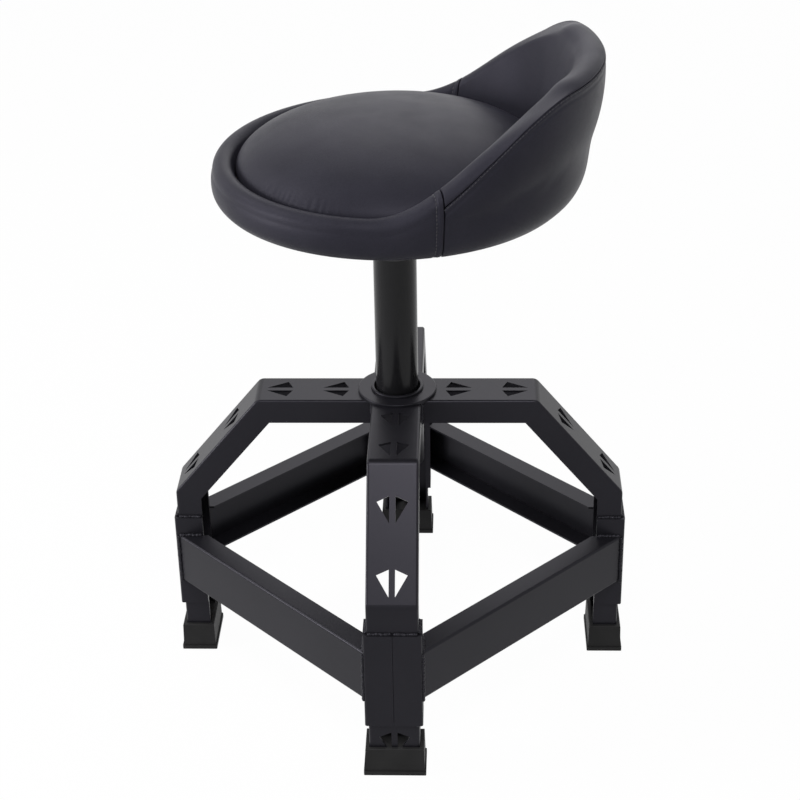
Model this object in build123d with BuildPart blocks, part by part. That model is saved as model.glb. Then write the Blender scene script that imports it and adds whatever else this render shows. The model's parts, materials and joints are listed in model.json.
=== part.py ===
from build123d import *
from math import atan2, cos, hypot, pi, radians, sin, sqrt, tan
import os

# A gas-lift shop stool: four pressed-steel legs in a cross, tied by a square of
# stretchers, a steel column, and a round padded seat with a low wrap-round back.
# Millimetres. Origin on the floor under the column, +Z up, one leg along each of
# +X, -X, +Y and -Y.

# Legs, bent from steel channel that is open towards the column
leg_width = 58.4
leg_depth = 29.9
leg_wall = 2.5
leg_reach = 270.5
arm_reach = 165.9
arm_height = 356.5
knee_height = 230.3
leg_edge_radius = 3.0
bend_radius = 10.0

# Pairs of pointed cut-outs in the webs of the legs
cutout_length = 30.8
cutout_shoulder = 6.4
cutout_half_width = 17.6
cutout_bar = 7.0
cutout_count = 2
arm_cutout_start_share = 0.347
arm_cutout_pitch_share = 0.404
slope_cutout_start_share = 0.242
slope_cutout_pitch_share = 0.499
foot_cutout_top = 57.0

# Saddle brackets, two folded halves round each leg
bracket_wall = 4.0
bracket_top = 194.5
bracket_bottom = 69.5
bracket_edge_radius = 3.0
bracket_seam_gap = 0.5

# Stretchers, channel with its open side towards the column
stretcher_top = 170.0
stretcher_bottom = 104.6
stretcher_flange = 25.7
stretcher_wall = 2.5
stretcher_setback = 0.4
stretcher_edge_radius = 3.0

# Weld beads
bead = 2.8
short_bead = 9.0
bead_end_gap = 3.0
plate_bead_crown = 0.75

# Rubber foot caps
cap_wall = 4.5
cap_height = 36.0
cap_floor = 6.0
cap_lip = 2.3
cap_lip_height = 5.0
cap_taper = 0.8
cap_edge_radius = 1.4
cap_tongue_drop = 4.0
cap_fit = 0.1

# Hub
sleeve_radius = 31.0
sleeve_mouth_radius = 27.0
sleeve_mouth_depth = 10.0
sleeve_length = 101.0
hub_ring_radius = 46.5
hub_ring_thickness = 3.5
sleeve_proud = 3.0
sleeve_lip_radius = 1.2
taper_fit = 0.05

# Gas lift
column_radius = 25.0
column_wall = 2.0
column_shown = 172.0
column_foot_radius = 24.2
column_tail = 6.0
base_plate_thickness = 3.0
guide_length = 78.0
guide_collar = 3.0
running_fit = 0.05
lift_stroke = 110.0
rod_radius = 5.0
rod_neck_radius = 4.0
race_thickness = 2.0
race_radius = 14.0
ball_radius = 2.0
ball_circle_radius = 9.5
ball_count = 10
cage_thickness = 1.6
cage_wall = 1.6
bumper_height = 8.0
bumper_radius = 13.0
gas_tube_radius = 14.0
gas_tube_wall = 1.75
gas_tube_tip_radius = 13.2
gas_tube_head = 14.0
rod_guide_length = 20.0
piston_height = 15.0
piston_seal_height = 3.0
piston_seal_depth = 2.0
piston_spare = 12.0
rod_nut_height = 5.0
rod_nut_radius = 7.0
clip_radius = 8.0
clip_thickness = 1.5
clip_groove_depth = 1.0
rod_tail = 3.0
button_radius = 4.0
button_proud = 8.0
button_travel = 2.5
button_sunk = 16.0
button_edge_radius = 1.0
touch_gap = 0.3

# Taper socket and mechanism bracket under the seat
socket_gap = 3.0
socket_length = 34.0
socket_radius = 22.0
socket_spigot_radius = 19.0
socket_spigot = 5.0
hat_width = 64.0
hat_wall = 2.5
hat_length = 130.0
hat_flange_width = 43.0
hat_bend_radius = 4.0
hat_height = 41.0
screw_spacing_x = 120.0
screw_spacing_y = 100.0
screw_radius = 3.0
screw_head_radius = 5.5
screw_head_height = 4.0
screw_length = 14.0
screw_clearance = 0.4
washer_radius = 8.0
washer_thickness = 1.5
nut_barrel_radius = 4.2
nut_flange_radius = 9.5
nut_flange_thickness = 1.3
nut_length = 9.0

# Height lever
lever_pivot_offset = 20.0
lever_radius = 4.0
lever_boss_radius = 7.5
lever_boss_length = 20.0
lever_tip_radius = 3.2
lever_finger_height = 5.0
lever_straight = 38.0
lever_drop = 16.0
lever_drop_run = 34.0
lever_end = 186.0
lever_bend_radius = 22.0
grip_radius = 7.0
grip_length = 58.0
grip_end_radius = 3.0
grip_fit = 0.05
pin_radius = 3.0
pin_head_radius = 5.0
pin_head_height = 2.0
spacer_radius = 5.5

# Seat board, with the bracket's flanges under it
seat_turn = -5.4
board_radius = 190.0
board_thickness = 12.0
soft_gap = 0.3
cover_thickness = 1.0
cover_inner_radius = 103.0

# Padded roll round the board: radii past the board's edge, heights over its underside
bay_inset = 14.0
under_overhang = 4.0
under_drop = 2.0
ring_waist_overhang = 13.4
ring_seam_overhang = 11.5
ring_inner_inset = 10.5
ring_height = 42.4
ring_waist_drop = 22.0
ring_seam_drop = 13.5
ring_inner_drop = 5.0
ring_root_drop = 15.0
ring_bow = 0.4
belly_out_share = 0.76
belly_up_share = 0.30

# Back, the same roll leaning out and carried up round the rear of the seat
back_rise = 118.6
back_waist_overhang = 25.3
back_waist_rise = 40.2
back_seam_overhang = 42.4
back_seam_drop = 3.5
back_crest_overhang = 37.7
back_inner_overhang = 8.0
back_inner_drop = 11.6
back_root_rise = 11.0
back_bow = 5.5
crest_crown_angle = 23.8
crest_end_angle = 91.2
seam_crown_angle = 29.2
seam_end_angle = 86.7
near_seam_angle = 68.0
far_seam_angle = 72.0
shell_gap = 0.5
shell_wall = 8.0
shell_foot_inset = 2.4
shell_top_drop = 9.0
shell_top_inset = 11.0

# Seat cushion
cushion_rim_drop = 11.0
cushion_crown = 50.9
cushion_edge_inset = 6.0
dome_radius_shares = (0.35, 0.58, 0.756, 0.872, 0.93, 0.977)
dome_height_shares = (0.955, 0.844, 0.689, 0.52, 0.391, 0.23)

half_turn = 180.0
overrun = 5.0
section_step = 12.0

slope = atan2(arm_height - knee_height, leg_reach - arm_reach)
slope_length = hypot(arm_height - knee_height, leg_reach - arm_reach)
hub_top = arm_height + hub_ring_thickness
sleeve_top = hub_top + sleeve_proud
sleeve_bottom = sleeve_top - sleeve_length
bracket_half_width = leg_width / 2 + bracket_wall
bracket_face = leg_reach + bracket_wall
stretcher_line = leg_reach + bracket_half_width + stretcher_setback
stretcher_distance = stretcher_line / sqrt(2)

os.makedirs("parts", exist_ok=True)


def save(piece, name):
    piece.label = name
    export_step(piece, f"parts/{name}.step")


def between(low, high, share):
    return low + (high - low) * share


def turned(*outline):
    """Revolves an outline of (radius, height) points about the column axis."""
    with BuildSketch(Plane.XZ) as half:
        with BuildLine():
            Polyline(*outline, close=True)
        make_face()
    revolve(half.sketch, axis=Axis.Z)


def disc(low, high, radius, bore=0.0):
    """A plain round piece between two heights, with a bore if it has one."""
    with BuildSketch(Plane.XY.offset(low)) as ring:
        Circle(radius)
        if bore:
            Circle(bore, mode=Mode.SUBTRACT)
    extrude(ring.sketch, amount=high - low)


def leg_path(inset):
    """The leg's centre-plane line from hub to floor, moved in by an inset."""
    return [
        (0, arm_height - inset),
        (arm_reach - inset * tan(slope / 2), arm_height - inset),
        (leg_reach - inset, knee_height - inset * cos(slope) / (1 + sin(slope))),
        (leg_reach - inset, cap_floor),
    ]


def leg_profile(near, far, bend):
    """A band between two insets of the leg's line, with its outer bends rounded."""
    outer = leg_path(near)
    with BuildSketch(Plane.XZ) as profile:
        with BuildLine():
            Polyline(*outer, *reversed(leg_path(far)), close=True)
        make_face()
        bends = [profile.vertices().sort_by_distance(corner)[0] for corner in outer[1:3]]
        fillet(bends, radius=bend)
    return profile.sketch


def cutout_pair(plane, start):
    """Two mirrored pointed holes either side of a bar, cut through a web."""
    with BuildSketch(plane) as holes:
        for side in (1, -1):
            with BuildLine():
                Polyline(
                    (start, side * cutout_bar / 2),
                    (start + cutout_shoulder, side * cutout_half_width),
                    (start + cutout_length, side * cutout_bar / 2),
                    close=True,
                )
            make_face()
    extrude(holes.sketch, amount=-leg_wall - overrun, mode=Mode.SUBTRACT)


# Legs
with BuildPart() as leg:
    extrude(leg_profile(0, leg_depth, bend_radius), amount=leg_width / 2, both=True)
    rim = leg.edges().filter_by(
        lambda e: abs(abs(e.center().Y) - leg_width / 2) < leg_wall
        and min(
            arm_height - e.center().Z,
            leg_reach - e.center().X,
            (leg_reach - e.center().X) * sin(slope) + (knee_height - e.center().Z) * cos(slope),
        )
        < leg_wall
    )
    fillet(rim, radius=leg_edge_radius)
    hollow = leg_profile(leg_wall, leg_depth + overrun, bend_radius - leg_wall)
    extrude(hollow, amount=leg_width / 2 - leg_wall, both=True, mode=Mode.SUBTRACT)
    with BuildSketch(Plane.XY):
        with BuildLine():
            Polyline((0, 0), (leg_reach, leg_reach), (leg_reach, -leg_reach), close=True)
        make_face()
    extrude(amount=arm_height, mode=Mode.INTERSECT)
    with BuildSketch(Plane.XY.offset(sleeve_bottom)):
        Circle(sleeve_radius)
    extrude(amount=arm_height, mode=Mode.SUBTRACT)
    slope_plane = Plane(
        origin=(arm_reach, 0, arm_height),
        x_dir=(cos(slope), 0, -sin(slope)),
        z_dir=(sin(slope), 0, cos(slope)),
    )
    for index in range(cutout_count):
        along_arm = arm_cutout_start_share + index * arm_cutout_pitch_share
        along_slope = slope_cutout_start_share + index * slope_cutout_pitch_share
        cutout_pair(Plane.XY.offset(arm_height), along_arm * arm_reach)
        cutout_pair(slope_plane, along_slope * slope_length)
    cutout_pair(
        Plane(origin=(leg_reach, 0, 0), x_dir=(0, 0, -1), z_dir=(1, 0, 0)), -foot_cutout_top
    )

# Saddle brackets
bracket_outline = [
    (leg_reach, bracket_seam_gap / 2),
    (bracket_face, bracket_seam_gap / 2),
    (bracket_face, bracket_half_width),
    (leg_reach - leg_depth, bracket_half_width),
    (leg_reach - leg_depth, leg_width / 2),
    (leg_reach, leg_width / 2),
]
with BuildPart() as bracket_half:
    with BuildSketch(Plane.XY.offset(bracket_bottom)) as bracket_plan:
        with BuildLine():
            Polyline(*bracket_outline, close=True)
        make_face()
        bracket_corner = bracket_plan.vertices().sort_by_distance(bracket_outline[2])[0]
        fillet(bracket_corner, radius=bracket_edge_radius)
    extrude(amount=bracket_top - bracket_bottom)


def stretcher_plan(inset, depth, height, ends=0.0):
    """Seen from above, the band that a stretcher fills between two brackets."""
    near = stretcher_line - inset * sqrt(2)
    far = stretcher_line - depth * sqrt(2)
    edge = bracket_half_width - ends
    with BuildSketch(Plane.XY.offset(height)) as plan:
        with BuildLine():
            Polyline((near - edge, edge), (edge, near - edge), (edge, far - edge),
                     (far - edge, edge), close=True)
        make_face()
    return plan.sketch


# Stretchers
stretcher_height = stretcher_top - stretcher_bottom
with BuildPart() as stretcher:
    extrude(stretcher_plan(0, stretcher_flange, stretcher_bottom), amount=stretcher_height)
    long_edges = stretcher.edges().filter_by(
        lambda e: e.length > stretcher_distance
        and e.center().X + e.center().Y > stretcher_line - stretcher_wall
    )
    fillet(long_edges, radius=stretcher_edge_radius)
    hollow = stretcher_plan(stretcher_wall, stretcher_flange + overrun,
                            stretcher_bottom + stretcher_wall, overrun)
    extrude(hollow, amount=stretcher_height - 2 * stretcher_wall, mode=Mode.SUBTRACT)


def quarter_bead(plane, corner, reach_x, reach_y, length):
    """A convex bead of weld in a corner, run along a plane's normal."""
    x, y = corner
    bulge = 1 / sqrt(2)
    with BuildSketch(plane) as section:
        with BuildLine():
            Line((x, y), (x + reach_x, y))
            ThreePointArc((x + reach_x, y), (x + reach_x * bulge, y + reach_y * bulge),
                          (x, y + reach_y))
            Line((x, y + reach_y), (x, y))
        make_face()
    extrude(section.sketch, amount=length)


def four_fold(piece):
    """The piece and its three copies, a quarter turn apart about the column."""
    with BuildPart() as group:
        for quarter in range(4):
            add(piece.rotate(Axis.Z, 90 * quarter))
    return group.part


# Weld beads along the brackets' top and bottom edges
face_bead_length = leg_width / 2 - bead_end_gap - leg_edge_radius
side_bead_length = leg_depth - bead_end_gap - leg_edge_radius
with BuildPart() as bracket_bead_set:
    for side in (1, -1):
        face_start = bead_end_gap if side > 0 else -bead_end_gap - face_bead_length
        quarter_bead(Plane.XZ.offset(-face_start - face_bead_length),
                     (leg_reach, bracket_top), bead, bead, face_bead_length)
        tack_end = side * (leg_width / 2 - leg_edge_radius)
        tack_start = min(tack_end, tack_end - side * short_bead)
        quarter_bead(Plane.XZ.offset(-tack_start - short_bead),
                     (leg_reach, bracket_bottom), bead, -bead, short_bead)
        quarter_bead(Plane.YZ.offset(leg_reach - leg_depth + bead_end_gap),
                     (side * leg_width / 2, bracket_top), side * bead, bead, side_bead_length)

# Weld beads where the stretchers meet the brackets
with BuildPart() as stretcher_bead_set:
    root = stretcher_line - bracket_half_width
    for side in (1, -1):
        with BuildSketch(Plane.XY.offset(stretcher_bottom)):
            with BuildLine():
                start = (root, side * bracket_half_width)
                on_plate = (bracket_face - bracket_edge_radius / 2, side * bracket_half_width)
                on_web = (root - bead, side * (bracket_half_width + bead))
                crown = (
                    between(on_plate[0], on_web[0], 1 / 2) + bead * (1 - plate_bead_crown),
                    side * (bracket_half_width + bead * plate_bead_crown),
                )
                Line(start, on_plate)
                ThreePointArc(on_plate, crown, on_web)
                Line(on_web, start)
            make_face()
        extrude(amount=stretcher_height - stretcher_edge_radius)
        quarter_bead(Plane.YZ.offset(leg_reach - leg_depth + bead_end_gap),
                     (side * bracket_half_width, stretcher_top), side * bead, bead,
                     side_bead_length)

# Weld beads in the four inner corners of the hub
with BuildPart() as hub_bead:
    quarter_bead(Plane.XY.offset(arm_height - leg_depth), (leg_width / 2, leg_width / 2),
                 bead, bead, leg_depth - leg_edge_radius)

# Foot caps, a rubber cup with a tongue that fills the open side of the channel
cap_back = leg_reach - leg_depth - cap_wall
cap_front = leg_reach + cap_wall
cap_middle = (cap_back + cap_front) / 2
cap_width = leg_width + 2 * cap_wall
cap_depth = cap_front - cap_back
with BuildPart() as foot_cap:
    for height, grow in ((cap_lip_height, cap_taper), (cap_height, 0)):
        with BuildSketch(Plane((cap_middle, 0, height))):
            Rectangle(cap_depth + 2 * grow, cap_width + 2 * grow)
    loft()
    with BuildSketch(Plane((cap_middle, 0, 0))):
        Rectangle(cap_depth + 2 * cap_lip, cap_width + 2 * cap_lip)
    extrude(amount=cap_lip_height)
    fillet(foot_cap.edges().filter_by(Axis.Z), radius=cap_edge_radius)
    fillet(foot_cap.faces().sort_by(Axis.Z)[-1].edges(), radius=cap_edge_radius)
    with BuildSketch(Plane((leg_reach - leg_depth / 2, 0, cap_floor))):
        Rectangle(leg_depth + 2 * cap_fit, leg_width + 2 * cap_fit)
    extrude(amount=cap_height, mode=Mode.SUBTRACT)
    tongue_depth = leg_depth - leg_wall - cap_fit
    with BuildSketch(Plane((leg_reach - leg_depth + (tongue_depth - cap_fit) / 2, 0, cap_floor))):
        Rectangle(tongue_depth + cap_fit, leg_width - 2 * leg_wall - 2 * cap_fit)
    extrude(amount=cap_height - cap_floor - cap_tongue_drop)

# Each side of the base
sides = {"right": 0, "back": 90, "left": 180, "front": 270}
for side_name, turn in sides.items():
    save(leg.part.rotate(Axis.Z, turn), f"leg_{side_name}")
    save(bracket_half.part.rotate(Axis.Z, turn), f"bracket_{side_name}_a")
    save(bracket_half.part.mirror(Plane.XZ).rotate(Axis.Z, turn), f"bracket_{side_name}_b")
    save(foot_cap.part.rotate(Axis.Z, turn), f"foot_cap_{side_name}")
corners = {"back_right": 0, "back_left": 90, "front_left": 180, "front_right": 270}
for corner_name, turn in corners.items():
    save(stretcher.part.rotate(Axis.Z, turn), f"stretcher_{corner_name}")
save(four_fold(bracket_bead_set.part), "bracket_welds")
save(four_fold(stretcher_bead_set.part), "stretcher_welds")
save(four_fold(hub_bead.part), "hub_welds")

# Hub sleeve, with a wide mouth over a taper that grips the column
taper_top = sleeve_top - sleeve_mouth_depth
column_foot = sleeve_bottom - column_tail
column_top = sleeve_top + column_shown


def column_radius_at(height):
    """The column's outside, straight above the taper and drawn in below it."""
    share = (height - column_foot) / (taper_top - column_foot)
    return between(column_foot_radius, column_radius, share)


with BuildPart() as hub_sleeve:
    turned(
        (column_radius_at(sleeve_bottom) + taper_fit, sleeve_bottom),
        (sleeve_radius, sleeve_bottom),
        (sleeve_radius, sleeve_top),
        (sleeve_mouth_radius, sleeve_top),
        (sleeve_mouth_radius, taper_top),
        (column_radius + taper_fit, taper_top),
    )
    fillet(hub_sleeve.edges().group_by(Axis.Z)[-1], radius=sleeve_lip_radius)
save(hub_sleeve.part, "hub_sleeve")

with BuildPart() as hub_ring:
    disc(arm_height, hub_top, hub_ring_radius, sleeve_radius + taper_fit)
    rim_edge = hub_ring.edges().group_by(Axis.Z)[-1].sort_by(SortBy.LENGTH)[-1]
    fillet(rim_edge, radius=sleeve_lip_radius)
save(hub_ring.part, "hub_ring")

# Column, its end plate and the guide bush at its mouth
column_bore = column_radius - column_wall
plate_top = column_foot + base_plate_thickness
with BuildPart() as column_tube:
    turned(
        (column_foot_radius - column_wall, column_foot),
        (column_foot_radius, column_foot),
        (column_radius, taper_top),
        (column_radius, column_top),
        (column_bore, column_top),
        (column_bore, taper_top),
    )
save(column_tube.part, "column_tube")

plate_share = base_plate_thickness / (taper_top - column_foot)
plate_top_radius = between(column_foot_radius, column_radius, plate_share) - column_wall
with BuildPart() as column_end_plate:
    turned(
        (rod_neck_radius + running_fit, column_foot),
        (column_foot_radius - column_wall, column_foot),
        (plate_top_radius, plate_top),
        (rod_neck_radius + running_fit, plate_top),
    )
save(column_end_plate.part, "column_end_plate")

guide_bore = gas_tube_radius + running_fit
with BuildPart() as guide_bush:
    turned(
        (guide_bore, column_top - guide_length),
        (column_bore, column_top - guide_length),
        (column_bore, column_top),
        (column_radius, column_top),
        (column_radius, column_top + guide_collar),
        (guide_bore, column_top + guide_collar),
    )
save(guide_bush.part, "guide_bush")

# Thrust bearing that the piston rod turns on
lower_race_top = plate_top + race_thickness
ball_centre = lower_race_top + ball_radius
upper_race_bottom = ball_centre + ball_radius + running_fit
upper_race_top = upper_race_bottom + race_thickness
race_bore = rod_neck_radius + running_fit
with BuildPart() as lower_race:
    disc(plate_top, lower_race_top, race_radius, race_bore)
save(lower_race.part, "lower_race")

with BuildPart() as bearing_balls:
    with Locations((0, 0, ball_centre)):
        with PolarLocations(ball_circle_radius, ball_count):
            Sphere(ball_radius)
save(bearing_balls.part, "bearing_balls")

with BuildPart() as ball_cage:
    disc(ball_centre - cage_thickness / 2, ball_centre + cage_thickness / 2,
         ball_circle_radius + ball_radius + cage_wall,
         ball_circle_radius - ball_radius - cage_wall)
    with Locations((0, 0, ball_centre)):
        with PolarLocations(ball_circle_radius, ball_count):
            Cylinder(ball_radius + running_fit, cage_thickness * 2, mode=Mode.SUBTRACT)
save(ball_cage.part, "ball_cage")

with BuildPart() as upper_race:
    disc(upper_race_bottom, upper_race_top, race_radius, race_bore)
save(upper_race.part, "upper_race")

# Spindle: piston rod, bumper, clip and piston
bumper_top = upper_race_top + bumper_height
gas_tube_bottom = bumper_top + touch_gap
rod_guide_top = gas_tube_bottom + rod_guide_length
piston_bottom = rod_guide_top + lift_stroke + piston_spare
piston_top = piston_bottom + piston_height
rod_top = piston_top + rod_nut_height
clip_top = column_foot - touch_gap
clip_bottom = clip_top - clip_thickness
rod_bottom = clip_bottom - rod_tail
groove_radius = rod_neck_radius - clip_groove_depth
with BuildPart() as piston_rod:
    turned(
        (0, rod_bottom),
        (rod_neck_radius, rod_bottom),
        (rod_neck_radius, clip_bottom),
        (groove_radius, clip_bottom),
        (groove_radius, clip_top),
        (rod_neck_radius, clip_top),
        (rod_neck_radius, upper_race_top),
        (rod_radius, upper_race_top),
        (rod_radius, piston_bottom),
        (rod_neck_radius, piston_bottom),
        (rod_neck_radius, rod_top),
        (0, rod_top),
    )
save(piston_rod.part, "piston_rod")

with BuildPart() as rod_clip:
    disc(clip_bottom, clip_top, clip_radius, groove_radius)
    with BuildSketch(Plane.XY.offset(clip_bottom)):
        with Locations((clip_radius, 0)):
            Rectangle(2 * clip_radius, 2 * groove_radius)
    extrude(amount=clip_thickness, mode=Mode.SUBTRACT)
save(rod_clip.part, "rod_clip")

with BuildPart() as bumper:
    disc(upper_race_top, bumper_top, bumper_radius, rod_radius + running_fit)
save(bumper.part, "bumper")

gas_bore = gas_tube_radius - gas_tube_wall
piston_radius = gas_bore - running_fit
seal_bottom = piston_bottom + (piston_height - piston_seal_height) / 2
seal_inner = piston_radius - piston_seal_depth
with BuildPart() as piston:
    disc(piston_bottom, piston_top, piston_radius, rod_neck_radius)
    with BuildSketch(Plane.XY.offset(seal_bottom)):
        Circle(piston_radius + overrun)
        Circle(seal_inner, mode=Mode.SUBTRACT)
    extrude(amount=piston_seal_height, mode=Mode.SUBTRACT)
save(piston.part, "piston")

with BuildPart() as piston_seal:
    disc(seal_bottom, seal_bottom + piston_seal_height, piston_radius, seal_inner)
save(piston_seal.part, "piston_seal")

with BuildPart() as rod_nut:
    with BuildSketch(Plane.XY.offset(piston_top)):
        RegularPolygon(rod_nut_radius, 6)
        Circle(rod_neck_radius, mode=Mode.SUBTRACT)
    extrude(amount=rod_nut_height)
save(rod_nut.part, "rod_nut")

# Gas spring that slides in the bush and carries the seat in a taper
socket_bottom = column_top + guide_collar + socket_gap
hat_bottom = socket_bottom + socket_length
hat_floor_top = hat_bottom + hat_wall
socket_top = hat_bottom + socket_spigot
gas_tube_top = socket_top + socket_spigot - touch_gap
chamber_top = gas_tube_top - gas_tube_head
button_bottom = gas_tube_top - button_sunk
button_top = gas_tube_top + button_proud


def gas_tube_radius_at(height):
    """The gas spring's outside, tapered from the socket's mouth to its tip."""
    share = (height - socket_bottom) / (gas_tube_top - socket_bottom)
    return between(gas_tube_radius, gas_tube_tip_radius, share)


with BuildPart() as gas_spring_tube:
    turned(
        (gas_bore, gas_tube_bottom),
        (gas_tube_radius, gas_tube_bottom),
        (gas_tube_radius, socket_bottom),
        (gas_tube_tip_radius, gas_tube_top),
        (button_radius + running_fit, gas_tube_top),
        (button_radius + running_fit, chamber_top),
        (gas_bore, chamber_top),
    )
save(gas_spring_tube.part, "gas_spring_tube")

with BuildPart() as rod_guide:
    disc(gas_tube_bottom, rod_guide_top, gas_bore, rod_radius + running_fit)
save(rod_guide.part, "rod_guide")

with BuildPart() as release_button:
    disc(button_bottom, button_top, button_radius)
    fillet(release_button.edges().group_by(Axis.Z)[-1], radius=button_edge_radius)
save(release_button.part, "release_button")

with BuildPart() as taper_socket:
    turned(
        (gas_tube_radius + taper_fit, socket_bottom),
        (socket_radius, socket_bottom),
        (socket_radius, hat_bottom),
        (socket_spigot_radius, hat_bottom),
        (socket_spigot_radius, socket_top),
        (gas_tube_radius_at(socket_top) + taper_fit, socket_top),
    )
save(taper_socket.part, "taper_socket")

# Everything from here up is square to the seat, which is turned a little
seat_out = (cos(radians(seat_turn)), sin(radians(seat_turn)), 0)
seat_across = (-seat_out[1], seat_out[0], 0)
seat_top_plane = Plane(origin=(0, 0, 0), x_dir=seat_out, z_dir=(0, 0, 1))
seat_long_plane = Plane(origin=(0, 0, 0), x_dir=seat_across, z_dir=seat_out)


def radial_plane(angle):
    """The upright plane at an angle from the middle of the back."""
    turn = radians(angle + seat_turn)
    return Plane(origin=(0, 0, 0), x_dir=(cos(turn), sin(turn), 0), z_dir=(sin(turn), -cos(turn), 0))


# Mechanism bracket, a folded hat section screwed under the board
hat_top = hat_bottom + hat_height
hat_half = hat_width / 2
pivot_height = button_top + touch_gap + lever_tip_radius
with BuildPart() as mechanism_bracket:
    with BuildSketch(radial_plane(0)) as hat_section:
        with BuildLine():
            Polyline(
                (-hat_half, hat_bottom),
                (hat_half, hat_bottom),
                (hat_half, hat_top - hat_wall),
                (hat_half + hat_flange_width, hat_top - hat_wall),
                (hat_half + hat_flange_width, hat_top),
                (hat_half - hat_wall, hat_top),
                (hat_half - hat_wall, hat_floor_top),
                (-hat_half + hat_wall, hat_floor_top),
                (-hat_half + hat_wall, hat_top),
                (-hat_half - hat_flange_width, hat_top),
                (-hat_half - hat_flange_width, hat_top - hat_wall),
                (-hat_half, hat_top - hat_wall),
                close=True,
            )
        make_face()
        outer_bends = [
            hat_section.vertices().sort_by_distance((x, hat_bottom))[0]
            for x in (-hat_half, hat_half)
        ]
        fillet(outer_bends, radius=hat_bend_radius)
    extrude(amount=hat_length / 2, both=True)
    with BuildSketch(Plane.XY.offset(hat_bottom - overrun)):
        Circle(socket_spigot_radius)
    extrude(amount=hat_wall + 2 * overrun, mode=Mode.SUBTRACT)
    with BuildSketch(seat_long_plane):
        with Locations((lever_pivot_offset, pivot_height)):
            Circle(pin_radius + running_fit)
    extrude(amount=hat_width, both=True, mode=Mode.SUBTRACT)
    with BuildSketch(seat_top_plane.offset(hat_top - hat_wall - overrun)):
        with GridLocations(screw_spacing_x, screw_spacing_y, 2, 2):
            Circle(screw_radius + screw_clearance)
    extrude(amount=hat_wall + 2 * overrun, mode=Mode.SUBTRACT)
save(mechanism_bracket.part, "mechanism_bracket")


def at_screws(radius, low, high, bore=0.0, mode=Mode.ADD):
    """The same round shape at each of the four bracket screws."""
    with BuildSketch(seat_top_plane.offset(low)) as rounds:
        with GridLocations(screw_spacing_x, screw_spacing_y, 2, 2):
            Circle(radius)
            if bore:
                Circle(bore, mode=Mode.SUBTRACT)
    extrude(rounds.sketch, amount=high - low, mode=mode)


flange_under = hat_top - hat_wall
washer_under = flange_under - washer_thickness
board_bottom = hat_top
board_top = board_bottom + board_thickness
with BuildPart() as bracket_washers:
    at_screws(washer_radius, washer_under, flange_under, screw_radius + screw_clearance)
save(bracket_washers.part, "bracket_washers")

with BuildPart() as bracket_screws:
    at_screws(screw_radius - running_fit, washer_under, washer_under + screw_length)
    with BuildSketch(seat_top_plane.offset(washer_under - screw_head_height)):
        with GridLocations(screw_spacing_x, screw_spacing_y, 2, 2):
            RegularPolygon(screw_head_radius, 6)
    extrude(amount=screw_head_height)
save(bracket_screws.part, "bracket_screws")

with BuildPart() as tee_nuts:
    at_screws(nut_barrel_radius, board_top - nut_length, board_top - touch_gap, screw_radius)
    at_screws(nut_flange_radius, board_top - touch_gap - nut_flange_thickness,
              board_top - touch_gap, screw_radius)
save(tee_nuts.part, "tee_nuts")

# Lever: lifting its outer end tips the finger down on the release button
boss_half = lever_boss_length / 2
with BuildPart() as height_lever:
    with BuildLine(seat_long_plane) as lever_line:
        FilletPolyline(
            (lever_pivot_offset, pivot_height),
            (lever_pivot_offset + lever_straight, pivot_height),
            (lever_pivot_offset + lever_straight + lever_drop_run, pivot_height - lever_drop),
            (lever_end, pivot_height - lever_drop),
            radius=lever_bend_radius,
        )
    with BuildSketch(Plane(origin=lever_line.line @ 0, z_dir=lever_line.line % 0)):
        Circle(lever_radius)
    sweep()
    with BuildSketch(seat_long_plane):
        with Locations((lever_pivot_offset, pivot_height)):
            Circle(lever_boss_radius)
    extrude(amount=boss_half, both=True)
    with BuildSketch(seat_long_plane):
        with Locations((0, pivot_height)):
            Circle(lever_tip_radius)
        with Locations((lever_pivot_offset / 2, pivot_height)):
            Rectangle(lever_pivot_offset, lever_finger_height)
    extrude(amount=lever_radius, both=True)
    with BuildSketch(seat_long_plane):
        with Locations((lever_pivot_offset, pivot_height)):
            Circle(pin_radius + running_fit)
    extrude(amount=hat_width, both=True, mode=Mode.SUBTRACT)
save(height_lever.part, "height_lever")

grip_plane = Plane(
    origin=seat_long_plane.from_local_coords((lever_end - grip_length, pivot_height - lever_drop)),
    x_dir=seat_out, z_dir=seat_across,
)
with BuildPart() as lever_grip:
    with BuildSketch(grip_plane):
        Circle(grip_radius)
    extrude(amount=grip_length + grip_end_radius)
    fillet(lever_grip.edges().filter_by(GeomType.CIRCLE), radius=grip_end_radius)
    with BuildSketch(grip_plane):
        Circle(lever_radius + grip_fit)
    extrude(amount=grip_length, mode=Mode.SUBTRACT)
save(lever_grip.part, "lever_grip")

with BuildPart() as lever_pin:
    with BuildSketch(seat_long_plane.offset(-hat_half - pin_head_height)):
        with Locations((lever_pivot_offset, pivot_height)):
            Circle(pin_radius)
    extrude(amount=hat_width + 2 * pin_head_height)
    for head in (-hat_half - pin_head_height, hat_half):
        with BuildSketch(seat_long_plane.offset(head)):
            with Locations((lever_pivot_offset, pivot_height)):
                Circle(pin_head_radius)
        extrude(amount=pin_head_height)
save(lever_pin.part, "lever_pin")

with BuildPart() as pin_spacers:
    spacer_length = hat_half - hat_wall - boss_half - 2 * touch_gap
    for start in (boss_half + touch_gap, -boss_half - touch_gap - spacer_length):
        with BuildSketch(seat_long_plane.offset(start)):
            with Locations((lever_pivot_offset, pivot_height)):
                Circle(spacer_radius)
                Circle(pin_radius + running_fit, mode=Mode.SUBTRACT)
        extrude(amount=spacer_length)
save(pin_spacers.part, "pin_spacers")

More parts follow.
